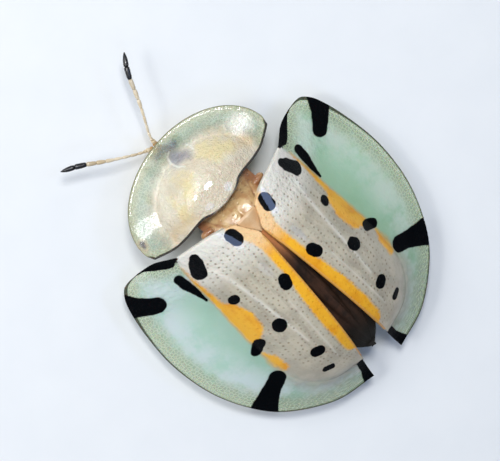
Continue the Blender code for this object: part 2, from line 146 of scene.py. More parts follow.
def lone(obj: Piece) -> None:
    """Selects one object and nothing else.

    Args:
        obj: The object.
    """
    bpy.ops.object.select_all(action="DESELECT")
    obj.select_set(True)
    bpy.context.view_layer.objects.active = obj


@contextmanager
def editing(obj: Piece) -> Iterator[None]:
    """Opens an object in edit mode with all of it selected, and leaves edit mode afterwards.

    Args:
        obj: The mesh object to edit.
    """
    lone(obj)
    bpy.ops.object.mode_set(mode="EDIT")
    bpy.ops.mesh.select_all(action="SELECT")
    yield
    bpy.ops.object.mode_set(mode="OBJECT")


def primitive(add: Callable[..., set[str]], name: str, **sizes: object) -> Piece:
    """Adds one of Blender's primitives under a name of its own.

    Args:
        add: The operator that adds it.
        name: The new object's name.
        **sizes: The operator's own settings.

    Returns:
        The new object.
    """
    bpy.ops.object.select_all(action="DESELECT")
    add(**sizes)
    obj = bpy.context.object
    obj.name = obj.data.name = name
    return obj


def points_of(obj: Piece) -> np.ndarray:
    """Reads a mesh's points, in millimetres.

    Args:
        obj: The mesh object.

    Returns:
        One row for each point.
    """
    flat = np.empty(len(obj.data.vertices) * 3)
    obj.data.vertices.foreach_get("co", flat)
    return flat.reshape(-1, 3) / MM


def put_points(obj: Piece, points: np.ndarray) -> None:
    """Moves a mesh's points to places in millimetres."""
    obj.data.vertices.foreach_set("co", np.ascontiguousarray(points * MM).ravel())
    obj.data.update()


def modified(obj: Piece, kind: str, **settings: object) -> None:
    """Adds a modifier with its settings and applies it.

    Args:
        obj: The object that takes it.
        kind: The modifier's type.
        **settings: Its properties.
    """
    lone(obj)
    modifier = obj.modifiers.new(kind.title(), kind)
    for key, value in settings.items():
        setattr(modifier, key, value)
    bpy.ops.object.modifier_apply(modifier=modifier.name)


def subdivided(obj: Piece, levels: int = 1) -> None:
    """Smooths a mesh by subdivision."""
    modified(obj, "SUBSURF", levels=levels, render_levels=levels)


def thickened(obj: Piece, thickness: float, even: bool = True) -> None:
    """Gives a sheet a thickness in millimetres, inwards from its face."""
    modified(obj, "SOLIDIFY", thickness=thickness * MM, offset=-1.0, use_even_offset=even)


def placed(obj: Piece, matrix: Matrix) -> None:
    """Carries a piece from the origin to its place, given in millimetres, which stays in its mesh.

    Args:
        obj: The piece.
        matrix: Its place, in millimetres.
    """
    place = matrix.copy()
    place.translation *= MM
    obj.matrix_world = place
    lone(obj)
    bpy.ops.object.transform_apply(location=True, rotation=True, scale=True)


def outward(obj: Piece) -> None:
    """Merges doubled points and turns every face outwards.

    Args:
        obj: The mesh object.
    """
    with editing(obj):
        bpy.ops.mesh.remove_doubles(threshold=1e-7)
        bpy.ops.mesh.normals_make_consistent(inside=False)


def flipped(obj: Piece) -> None:
    """Turns every face over."""
    with editing(obj):
        bpy.ops.mesh.flip_normals()


def smooth(obj: Piece, angle: float = 40.0) -> None:
    """Shades a piece smooth but for edges sharper than an angle in degrees."""
    lone(obj)
    bpy.ops.object.shade_smooth_by_angle(angle=math.radians(angle))


def joined(parts: Sequence[Piece], name: str) -> Piece:
    """Joins parts into one object.

    Args:
        parts: The objects, the first of which takes the rest.
        name: The whole's name.

    Returns:
        The joined object.
    """
    lone(parts[0])
    for part in parts[1:]:
        part.select_set(True)
    bpy.ops.object.join()
    parts[0].name = parts[0].data.name = name
    return parts[0]


@dataclass(frozen=True)
class Station:
    """One ring of a grown piece: its height, its two radii and how far it lies off the axis.

    All of them are in millimetres.
    """

    z: float
    rx: float
    ry: float
    dy: float = 0.0


def grown(name: str, stations: Sequence[Station], sides: int) -> Piece:
    """Grows a closed body from a circle, extruded and resized from station to station up the Z axis.

    Args:
        name: The new object's name.
        stations: The rings, from the first to the last.
        sides: How many points each ring has.

    Returns:
        The closed body, in metres.
    """
    body = primitive(bpy.ops.mesh.primitive_circle_add, name, vertices=sides, radius=MM, fill_type="NGON")
    first = stations[0]
    with editing(body):
        bpy.ops.transform.resize(value=(first.rx, first.ry, 1.0), center_override=(0.0, 0.0, 0.0))
        bpy.ops.transform.translate(value=(0.0, first.dy * MM, first.z * MM))
        for one, two in zip(stations, stations[1:]):
            shift = (0.0, (two.dy - one.dy) * MM, (two.z - one.z) * MM)
            bpy.ops.mesh.extrude_region_move(TRANSFORM_OT_translate={"value": shift})
            bpy.ops.transform.resize(
                value=(two.rx / one.rx, two.ry / one.ry, 1.0), center_override=(0.0, two.dy * MM, two.z * MM)
            )
        bpy.ops.mesh.select_all(action="SELECT")
        bpy.ops.mesh.normals_make_consistent(inside=False)
    return body


def aimed(start: Vector, end: Vector, up: Vector = Vector((0.0, 0.0, 1.0))) -> Matrix:
    """Builds the place that carries the Z axis to a line, with Y as near to up as it can be.

    Args:
        start: Where the origin goes, in millimetres.
        end: A point that the Z axis points at, in millimetres.
        up: Which way Y leans.

    Returns:
        The matrix, in millimetres.
    """
    z = (end - start).normalized()
    x = up.cross(z)
    x = x.normalized() if x.length > 1e-6 else Vector((1.0, 0.0, 0.0))
    y = z.cross(x)
    return Matrix.Translation(start) @ Matrix((x, y, z)).transposed().to_4x4()


def spindle(name: str, start: Vector, end: Vector, profile: Profile, sides: int, flat: float = 1.0) -> Piece:
    """Grows a smooth, round part from one point to another.

    Args:
        name: The new object's name.
        start: Its near end, in millimetres.
        end: Its far end, in millimetres.
        profile: Shares of its length, each with a radius in millimetres.
        sides: How many sides it is grown with.
        flat: How thick it is up and down against across.

    Returns:
        The part, in place.
    """
    length = (end - start).length
    part = grown(name, [Station(share * length, radius, radius * flat) for share, radius in profile], sides)
    subdivided(part)
    placed(part, aimed(start, end))
    return part


def ellipsoid(name: str, radii: Point, steps: int, sides: int, least: float) -> Piece:
    """Grows an egg-shaped body round the origin.

    Args:
        name: The new object's name.
        radii: Its half width, half depth and half height, in millimetres.
        steps: How many steps it is grown in.
        sides: How many sides it is grown with.
        least: The radius left at its two poles, in millimetres.

    Returns:
        The body.
    """
    rx, ry, rz = radii
    rings = []
    for turn in (math.pi * k / steps for k in range(steps + 1)):
        wide = math.sin(turn)
        rings.append(Station(-rz * math.cos(turn), max(least, rx * wide), max(least, ry * wide)))
    return grown(name, rings, sides)


def tagged(obj: Piece, name: str, values: np.ndarray) -> None:
    """Stores one number for each point of a mesh, for its material to read."""
    layer = obj.data.attributes.new(name, "FLOAT", "POINT")
    layer.data.foreach_set("value", np.ascontiguousarray(values, np.float32))


def unwrapped(obj: Piece, plan: np.ndarray) -> None:
    """Gives a mesh the UV map that its pattern follows, from a place on a plan for each point.

    Args:
        obj: The mesh object.
        plan: One row for each point, 0 to 1.
    """
    layer = obj.data.uv_layers.active or obj.data.uv_layers.new()
    layer.name = "Plan"
    corners = np.empty(len(obj.data.loops), np.int32)
    obj.data.loops.foreach_get("vertex_index", corners)
    layer.data.foreach_set("uv", np.ascontiguousarray(plan[corners], np.float32).ravel())


# Finishes


def tone(red: int, green: int, blue: int) -> Tone:
    """Turns a colour as the eye names it, 0 to 255, into the shader's linear light.

    Args:
        red: Its red.
        green: Its green.
        blue: Its blue.

    Returns:
        The linear colour.
    """

    def linear(value: float) -> float:
        """One channel of it."""
        value /= 255.0
        return value / 12.92 if value <= 0.04045 else ((value + 0.055) / 1.055) ** 2.4

    return linear(red), linear(green), linear(blue)


class Wiring:
    """One material's nodes, added and joined by plain calls."""

    def __init__(self, name: str) -> None:
        """Starts a material with its Principled shader.

        Args:
            name: The material's name.
        """
        self.material = bpy.data.materials.new(name)
        self.material.use_nodes = True
        self.nodes = self.material.node_tree.nodes
        self.links = self.material.node_tree.links
        self.shader = self.nodes["Principled BSDF"]

    def node(self, kind: str, inputs: dict[str | int, Input], **settings: object) -> bpy.types.ShaderNode:
        """Adds a node.

        Args:
            kind: Its type.
            inputs: What its inputs take, by their names or numbers.
            **settings: Its properties.

        Returns:
            The node.
        """
        node = self.nodes.new(f"ShaderNode{kind}")
        for key, value in settings.items():
            setattr(node, key, value)
        for key, value in inputs.items():
            self.feed(node.inputs[key], value)
        return node

    def feed(self, socket: Socket, value: Input) -> None:
        """Sets a socket to a number or colour, or joins another socket to it.

        Args:
            socket: The input.
            value: What it takes.
        """
        if isinstance(value, Socket):
            self.links.new(value, socket)
        elif isinstance(value, tuple) and len(socket.default_value) == 4:
            socket.default_value = (*value, 1.0)
        else:
            socket.default_value = value

    def place(self, scale: Input = 1.0 / MM) -> Socket:
        """The piece's own coordinates, in millimetres unless a scale is given."""
        return self.scaled(self.node("TexCoord", {}).outputs["Object"], scale)

    def plan(self, scale: tuple[float, float, float]) -> Socket:
        """The piece's UV map, scaled."""
        return self.scaled(self.node("UVMap", {}, uv_map="Plan").outputs["UV"], scale)

    def scaled(self, source: Socket, scale: Input) -> Socket:
        """A set of coordinates, scaled."""
        size = scale if isinstance(scale, tuple) else (scale, scale, scale)
        return self.node("Mapping", {"Vector": source, "Scale": size}).outputs["Vector"]

    def tag(self, name: str) -> Socket:
        """A number stored on the mesh."""
        return self.node("Attribute", {}, attribute_name=name).outputs["Fac"]

    def maths(self, operation: str, *values: Input) -> Socket:
        """The result of one operation on the first two values, then on that and the next one, and so on.

        Args:
            operation: The Math node's operation.
            *values: The values.

        Returns:
            The last result.
        """
        result, *rest = values
        for value in rest:
            result = self.node("Math", {0: result, 1: value}, operation=operation).outputs[0]
        return result

    def plus(self, *values: Input) -> Socket:
        """The values' sum."""
        return self.maths("ADD", *values)

    def times(self, *values: Input) -> Socket:
        """The values' product."""
        return self.maths("MULTIPLY", *values)

    def minus(self, one: Input, two: Input) -> Socket:
        """What is left of one value after another."""
        return self.maths("SUBTRACT", one, two)

    def most(self, *values: Input) -> Socket:
        """The largest of the values."""
        return self.maths("MAXIMUM", *values)

    def rise(self, value: Input, low: float, high: float, start: float = 0.0, end: float = 1.0) -> Socket:
        """A smooth rise from start to end as value goes from low to high."""
        inputs = {"Value": value, "From Min": low, "From Max": high, "To Min": start, "To Max": end}
        return self.node("MapRange", inputs, interpolation_type="SMOOTHSTEP").outputs["Result"]

    def fall(self, value: Input, low: float, high: float, start: float = 1.0, end: float = 0.0) -> Socket:
        """A smooth fall from start to end as value goes from low to high."""
        return self.rise(value, low, high, start, end)

    def mix(self, share: Input, one: Input, two: Input) -> Socket:
        """Two colours mixed by a share."""
        return self.node("Mix", {0: share, 6: one, 7: two}, data_type="RGBA").outputs[2]

    def noise(self, coordinates: Socket, scale: float, detail: float = 3.0, rough: float = 0.5) -> Socket:
        """Fractal noise, 0 to 1."""
        inputs = {"Vector": coordinates, "Scale": scale, "Detail": detail, "Roughness": rough}
        return self.node("TexNoise", inputs).outputs[0]

    def cells(
        self, coordinates: Socket, scale: float, feature: Feature, jitter: float, flat: bool = False
    ) -> Socket:
        """Distance in a field of cells.

        Args:
            coordinates: Where it is read.
            scale: Cells for each unit.
            feature: What the distance goes to.
            jitter: 0 for a regular lattice, 1 for a random one.
            flat: True to read only two of the coordinates.

        Returns:
            The distance.
        """
        inputs = {"Vector": coordinates, "Scale": scale, "Randomness": jitter}
        field = {"feature": feature.value, "voronoi_dimensions": "2D" if flat else "3D"}
        return self.node("TexVoronoi", inputs, **field).outputs["Distance"]

    def dots(self, plan: Socket, rows: float, along_row: float, jitter: float) -> Socket:
        """Distance in millimetres to the nearest of the dots that stand in rows on a plan.

        Args:
            plan: The plan's coordinates, in millimetres.
            rows: Rows for each millimetre across.
            along_row: Dots for each millimetre of a row.
            jitter: How far they stray, from 0 to 1.

        Returns:
            The distance.
        """
        lattice = self.scaled(plan, (rows, along_row, 0.0))
        inputs = {"Vector": lattice, "Scale": 1.0, "Randomness": jitter}
        dot = self.node("TexVoronoi", inputs, voronoi_dimensions="2D").outputs["Position"]
        offset = self.node("VectorMath", {0: lattice, 1: dot}, operation="SUBTRACT").outputs[0]
        offset = self.scaled(offset, (1.0 / rows, 1.0 / along_row, 0.0))
        return self.node("VectorMath", {0: offset}, operation="LENGTH").outputs["Value"]

    def bump(self, height: Socket, depth: float) -> Socket:
        """A bumped normal, depth in millimetres for a height of 1."""
        inputs = {"Strength": 1.0, "Distance": depth * MM, "Height": height}
        return self.node("Bump", inputs).outputs["Normal"]

    def shine(self, **values: Input) -> None:
        """Feeds the Principled shader's inputs, named in lower case with underscores."""
        for key, value in values.items():
            self.feed(self.shader.inputs[key.replace("_", " ").title().replace("Ior", "IOR")], value)


@dataclass(frozen=True)
class ShellFinish:
    """The wing cases' enamel: pale, with rows of pits, orange bands, black spots and a clear rim of cells."""

    cream: Tone = tone(191, 183, 163)
    grey: Tone = tone(171, 164, 147)
    streak: Tone = tone(236, 232, 222)
    shade: Tone = tone(146, 140, 124)
    pit: Tone = tone(128, 115, 94)
    orange: Tone = tone(238, 175, 48)
    rust: Tone = tone(222, 148, 34)
    peach: Tone = tone(238, 198, 148)
    seam: Tone = tone(206, 150, 78)
    black: Tone = tone(6, 8, 11)
    milk: Tone = tone(186, 222, 204)
    jade: Tone = tone(160, 200, 176)
    frost: Tone = tone(216, 231, 229)
    cell: Tone = tone(168, 188, 150)
    wall: Tone = tone(216, 226, 198)
    milk_cover: float = 0.56
    cell_cover: float = 0.40
    pit_rows: float = 3.4
    pits_along: float = 4.5
    pit_radius: float = 0.022
    pit_slope: float = 0.045

    def make(self, name: str) -> Material:
        """Wires the enamel.

        Args:
            name: The material's name.

        Returns:
            The material.
        """
        w = Wiring(name)
        place = w.place()
        plan = w.plan((PLAN_SPAN, PLAN_SPAN, 1.0))
        wobble = w.minus(w.noise(place, 3.0, 2.0), 0.5)
        mottle = w.noise(place, 1.1, 4.0, 0.6)
        margin = w.tag("margin")
        dots = w.dots(plan, self.pit_rows, self.pits_along, 0.4)
        pits = w.fall(dots, self.pit_radius, self.pit_radius + self.pit_slope)
        pits = w.times(pits, w.rise(w.noise(place, 2.6, 2.0), 0.36, 0.6, 0.2, 1.0))
        pits = w.times(pits, w.fall(w.tag("collar"), 0.0, 1.0))
        pits = w.times(pits, w.fall(margin, -0.35, -0.1))
        ridge = w.tag("ridge")
        disc = w.mix(w.rise(mottle, 0.35, 0.7), self.cream, self.grey)
        specks = w.times(w.noise(place, 9.0, 2.0, 0.6), 0.4)
        grain = w.plus(w.noise(w.scaled(plan, (2.6, 0.5, 0.0)), 1.0, 3.0), specks)
        grain = w.times(w.rise(grain, 0.62, 0.88, 0.0, 0.5), w.fall(margin, -0.6, -0.15))
        disc = w.mix(w.times(grain, w.fall(w.tag("base"), 0.0, 1.0, end=0.35)), disc, self.shade)
        disc = w.mix(w.times(ridge, 0.5), disc, self.streak)
        disc = w.mix(w.times(w.tag("base"), 0.62), disc, self.streak)
        disc = w.mix(w.times(w.tag("collar"), 0.6), disc, self.streak)
        disc = w.mix(w.times(pits, 0.66), disc, self.pit)
        orange = w.mix(w.rise(mottle, 0.4, 0.72), self.orange, self.rust)
        orange = w.mix(w.tag("peach"), orange, self.peach)
        orange = w.mix(w.times(pits, 0.25), orange, self.rust)
        ragged = w.plus(w.times(wobble, 0.14), w.times(w.noise(place, 10.0, 2.0), 0.16))
        orange_edge = w.plus(w.tag("orange"), w.minus(ragged, 0.08))
        disc = w.mix(w.fall(orange_edge, -0.09, 0.1), disc, orange)
        disc = w.mix(w.fall(w.tag("seam"), 0.03, 0.09, 0.8), disc, self.seam)
        rim = w.plus(w.tag("rim"), w.times(wobble, 0.5))
        honey = w.fall(rim, 0.25, 1.15)
        comb = w.cells(plan, 6.2, Feature.WALL, 0.8, flat=True)
        walls = w.times(w.fall(comb, 0.04, 0.22), honey)
        cloud = w.plus(w.noise(place, 0.9, 2.0, 0.5), w.times(w.noise(place, 6.0, 3.0), 0.25))
        belt = w.fall(w.tag("rim"), 1.2, 2.6, end=0.12)
        milk = w.mix(w.fall(margin, 0.0, 1.6, 0.7), self.milk, self.jade)
        milk = w.mix(w.times(w.rise(cloud, 0.4, 0.75), belt), milk, self.frost)
        clear = w.mix(honey, milk, self.cell)
        clear = w.mix(w.times(walls, 0.5), clear, self.wall)
        softened = w.plus(margin, w.times(wobble, 0.1))
        margin_share = w.rise(softened, -0.07, 0.17)
        skin = w.mix(margin_share, disc, clear)
        outline = w.minus(w.tag("rim"), w.tag("outline"))
        edge = w.fall(outline, -0.015, 0.025)
        skin = w.mix(w.times(edge, 0.85), skin, self.black)
        black_edge = w.plus(w.tag("black"), w.times(wobble, 0.09))
        black_share = w.fall(black_edge, -0.02, 0.025)
        skin = w.mix(black_share, skin, self.black)
        cover = w.rise(honey, 0.0, 1.0, self.milk_cover, self.cell_cover)
        cover = w.plus(cover, w.times(walls, 0.18))
        cover = w.plus(cover, w.times(edge, 0.5))
        solid = w.minus(1.0, margin_share)
        alpha = w.most(w.most(solid, cover), black_share)
        relief = w.times(pits, -1.0)
        relief = w.plus(relief, w.times(walls, 0.5))
        relief = w.plus(relief, w.times(ridge, 1.0))
        relief = w.plus(relief, w.times(w.noise(place, 4.0, 3.0), w.rise(w.tag("base"), 0, 1, 1.3, 6.0)))
        relief = w.plus(relief, w.times(w.noise(place, 11.0, 2.0), w.rise(w.tag("base"), 0, 1, 0.2, 2.0)))
        film = w.noise(place, 2.4, 2.0)
        w.shine(base_color=skin, alpha=alpha, normal=w.bump(relief, 0.016), coat_normal=w.bump(film, 0.006))
        lacquer = w.times(w.rise(w.tag("base"), 0.0, 1.0, 0.1, 0.8), w.fall(margin, -1.2, -0.6, end=0.1))
        enamel = w.rise(w.tag("base"), 0.0, 1.0, 0.4, 0.65)
        lacquer = w.most(lacquer, w.times(w.minus(1.0, black_share), enamel))
        w.shine(roughness=w.rise(mottle, 0.3, 0.7, 0.2, 0.28), coat_weight=lacquer, coat_roughness=0.06)
        w.shine(subsurface_weight=0.1, subsurface_scale=0.0004, specular_ior_level=0.02)
        return w.material


@dataclass(frozen=True)
class ShieldFinish:
    """The shield's enamel: a cream disc under a glassy skin, and a clear, golden green rim of cells."""

    cream: Tone = tone(228, 219, 196)
    ivory: Tone = tone(214, 201, 176)
    amber: Tone = tone(230, 212, 152)
    tan: Tone = tone(218, 192, 146)
    white: Tone = tone(246, 243, 230)
    # Painted shade: the head and eyes seen in shade through the clear rim, tinged blue like a reflection
    dusk: Tone = tone(84, 96, 126)
    cell: Tone = tone(176, 198, 172)
    wall: Tone = tone(216, 226, 196)
    gold: Tone = tone(214, 206, 148)
    edge: Tone = tone(26, 20, 14)
    shade: Tone = tone(48, 44, 62)
    cover: float = 0.44

    def make(self, name: str) -> Material:
        """Wires the enamel.

        Args:
            name: The material's name.

        Returns:
            The material.
        """
        w = Wiring(name)
        place = w.place()
        wobble = w.minus(w.noise(place, 1.3, 3.0, 0.6), 0.5)
        mottle = w.noise(place, 0.9, 4.0, 0.55)
        disc = w.mix(w.rise(mottle, 0.36, 0.66), self.cream, self.ivory)
        for patch, colour, share in (("amber", self.amber, 0.7), ("tan", self.tan, 0.6)):
            spread = w.plus(w.tag(patch), w.times(wobble, 1.8))
            disc = w.mix(w.fall(spread, -0.3, 0.3, share), disc, colour)
        disc_edge = w.plus(w.tag("disc"), w.times(wobble, 0.8))
        margin_share = w.rise(disc_edge, -0.05, 0.75)
        comb = w.cells(place, 7.0, Feature.WALL, 0.9)
        walls = w.fall(comb, 0.02, 0.16)
        clear = w.mix(w.times(walls, 0.35), self.cell, self.wall)
        rim = w.tag("rim")
        clear = w.mix(w.fall(rim, 0.05, 0.6, 0.5), clear, self.gold)
        skin = w.mix(margin_share, disc, clear)
        pale = w.fall(w.plus(w.tag("white"), w.times(wobble, 0.8)), -0.25, 0.3)
        skin = w.mix(w.times(pale, 0.8), skin, self.white)
        # Painted shade: a dark bluish smudge where the head and eyes show in shade through the clear rim
        dusk = w.fall(w.plus(w.tag("dusk"), w.times(wobble, 0.7)), -0.3, 0.22)
        skin = w.mix(w.times(dusk, 0.66), skin, self.dusk)
        skin = w.mix(w.fall(w.tag("arcs"), 0.0, 0.07, 0.6), skin, self.white)
        line = w.fall(w.minus(rim, w.times(w.tag("rear"), 0.06)), 0.03, 0.06)
        skin = w.mix(w.times(line, w.rise(w.tag("rear"), 0.0, 1.0, 0.6, 0.97)), skin, self.edge)
        skin = w.mix(w.fall(w.tag("speck"), 0.0, 0.22, 0.6), skin, self.tan)
        skin = w.mix(w.fall(w.tag("speck"), -0.1, 0.06, 0.9), skin, self.shade)
        cover = w.plus(w.times(walls, 0.14), self.cover)
        cover = w.plus(cover, w.times(line, 0.6))
        cover = w.plus(cover, w.times(pale, 0.4))
        alpha = w.most(w.minus(1.0, margin_share), cover)
        relief = w.plus(w.times(walls, 0.12), w.noise(place, 1.7, 3.0, 0.6))
        relief = w.plus(relief, w.times(w.noise(place, 5.0, 3.0, 0.65), 0.8))
        relief = w.plus(relief, w.times(w.noise(place, 7.0, 2.0), w.times(margin_share, 0.7)))
        film = w.plus(w.noise(place, 1.5, 2.0), w.times(w.noise(place, 5.0, 3.0), 0.3))
        w.shine(base_color=skin, alpha=alpha, normal=w.bump(relief, 0.13), coat_normal=w.bump(film, 0.011))
        dull = w.fall(rim, 0.03, 0.12, 0.5)
        w.shine(roughness=w.most(w.rise(mottle, 0.3, 0.7, 0.14, 0.22), dull))
        w.shine(coat_weight=w.rise(rim, 0.04, 0.14, 0.0, 0.8), coat_roughness=0.04)
        w.shine(subsurface_weight=0.15, subsurface_scale=0.0005)
        return w.material


@dataclass(frozen=True)
class CuticleFinish:
    """Plain glossy cuticle: two tones that drift into each other, fine pores and a wrinkled sheen."""

    tone_high: Tone
    tone_low: Tone
    roughness: float = 0.3
    coat: float = 0.3
    pore_scale: float = 9.0
    pore_depth: float = 0.006
    drift: float = 1.4
    tip_tone: Tone | None = None

    def make(self, name: str) -> Material:
        """Wires the cuticle.

        Args:
            name: The material's name.

        Returns:
            The material.
        """
        w = Wiring(name)
        place = w.place()
        mottle = w.noise(place, self.drift, 4.0, 0.55)
        pores = w.rise(w.cells(place, self.pore_scale, Feature.MIDDLE, 1.0), 0.1, 0.34)
        skin = w.mix(w.rise(mottle, 0.34, 0.66), self.tone_high, self.tone_low)
        skin = w.mix(w.fall(pores, 0.0, 1.0, 0.35), skin, self.tone_low)
        if self.tip_tone is not None:
            skin = w.mix(w.tag("tip"), skin, self.tip_tone)
        relief = w.plus(pores, w.times(w.noise(place, 6.0, 3.0), 0.8))
        w.shine(base_color=skin, roughness=w.rise(mottle, 0.3, 0.7, self.roughness, self.roughness + 0.12))
        w.shine(normal=w.bump(relief, self.pore_depth), coat_normal=w.bump(relief, 0.9 * self.pore_depth))
        w.shine(coat_weight=self.coat, coat_roughness=0.1)
        return w.material


@dataclass(frozen=True)
class MembraneFinish:
    """The folded hind wings: smoky, satin membrane, amber at the root with painted light there, painted shade
    at the tail, darker veins and fine pleats.
    """

    smoke: Tone = tone(72, 50, 38)
    soot: Tone = tone(42, 33, 27)
    # The root's own amber, painted brighter to stand for light reaching into the gap
    amber: Tone = tone(214, 140, 84)
    vein: Tone = tone(38, 24, 14)
    shadow: Tone = tone(26, 24, 20)

    def make(self, name: str) -> Material:
        """Wires the membrane.

        Args:
            name: The material's name.

        Returns:
            The material.
        """
        w = Wiring(name)
        place = w.place()
        cloud = w.noise(place, 1.3, 4.0, 0.6)
        skin = w.mix(w.rise(cloud, 0.35, 0.68), self.smoke, self.soot)
        # The membrane's amber root, partly its own colour and partly painted light in the gap between the
        # wing cases
        skin = w.mix(w.tag("root"), skin, self.amber)
        # Painted shade: the wings darken towards their tail
        skin = w.mix(w.tag("tail"), skin, self.shadow)
        skin = w.mix(w.tag("vein"), skin, self.vein)
        wrinkles = w.noise(w.place((6000.0, 1300.0, 1000.0)), 1.0, 4.0, 0.6)
        w.shine(base_color=skin, roughness=w.rise(cloud, 0.3, 0.7, 0.46, 0.64), specular_ior_level=0.16)
        w.shine(normal=w.bump(wrinkles, 0.02))
        return w.material


@dataclass(frozen=True)
class EyeFinish:
    """A compound eye: black, glossy, in fine raised facets."""

    dark: Tone = tone(16, 14, 20)
    glow: Tone = tone(44, 34, 40)

    def make(self, name: str) -> Material:
        """Wires the eye.

        Args:
            name: The material's name.

        Returns:
            The material.
        """
        w = Wiring(name)
        facets = w.cells(w.place(), 15.0, Feature.MIDDLE, 0.25)
        w.shine(base_color=w.mix(w.rise(facets, 0.1, 0.5), self.glow, self.dark), roughness=0.12)
        w.shine(normal=w.bump(w.fall(facets, 0.0, 0.6), 0.01), coat_weight=0.5, coat_roughness=0.04)
        return w.material


@dataclass(frozen=True)
class FloorFinish:
    """A pale matt floor with the faintest grain."""

    high: Tone = tone(232, 235, 236)
    low: Tone = tone(224, 228, 230)

    def make(self, name: str) -> Material:
        """Wires the floor.

        Args:
            name: The material's name.

        Returns:
            The material.
        """
        w = Wiring(name)
        grain = w.noise(w.place(), 0.4, 5.0)
        w.shine(base_color=w.mix(grain, self.high, self.low), roughness=0.85)
        return w.material


# Sub-assemblies


def finished(piece: Piece, material: Material, slot: Slot, *nodes: str) -> None:
    """Dresses a piece, gives it to the body and hides the solids that it stands for.

    Args:
        piece: The finished mesh.
        material: Its finish.
        slot: The record's slot that the finish fills; not used.
        *nodes: The solids that the piece stands for.
    """
    piece.data.materials.clear()
    piece.data.materials.append(material)
    if nodes:
        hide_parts(*nodes)
    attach(piece, "root")
    LOG.info("%s: %d faces, for %s", piece.name, len(piece.data.polygons), ", ".join(nodes) or "no solid")


def plane_of(name: str, columns: int, rows: int) -> tuple[Piece, np.ndarray, np.ndarray]:
    """Adds a fine grid, to be shaped as a sheet.

    Args:
        name: The sheet's name.
        columns: Its cells across.
        rows: Its cells along.

    Returns:
        The sheet, and each point's share across and along.
    """
    sheet = primitive(
        bpy.ops.mesh.primitive_grid_add, name, x_subdivisions=columns, y_subdivisions=rows, size=2 * MM
    )
    shares = (points_of(sheet) + 1.0) / 2.0
    return sheet, shares[:, 0], shares[:, 1]


def reach(marks: Sequence[Chain], x: np.ndarray, y: np.ndarray) -> np.ndarray:
    """Measures how far points lie outside the nearest of some marks, below zero inside it.

    Args:
        marks: Chains of round dabs, each a place across and along and a radius.
        x: The points' places across.
        y: The points' places along.

    Returns:
        The distances, in millimetres.
    """
    nearest = np.full(len(x), FAR)
    for chain in marks:
        for (ax, ay, ar), (bx, by, br) in zip(chain, chain[1:] or chain):
            span = max((bx - ax) ** 2 + (by - ay) ** 2, 1e-9)
            t = np.clip(((x - ax) * (bx - ax) + (y - ay) * (by - ay)) / span, 0.0, 1.0)
            gap = np.hypot(x - ax - t * (bx - ax), y - ay - t * (by - ay))
            nearest = np.minimum(nearest, gap - ar - t * (br - ar))
    return nearest


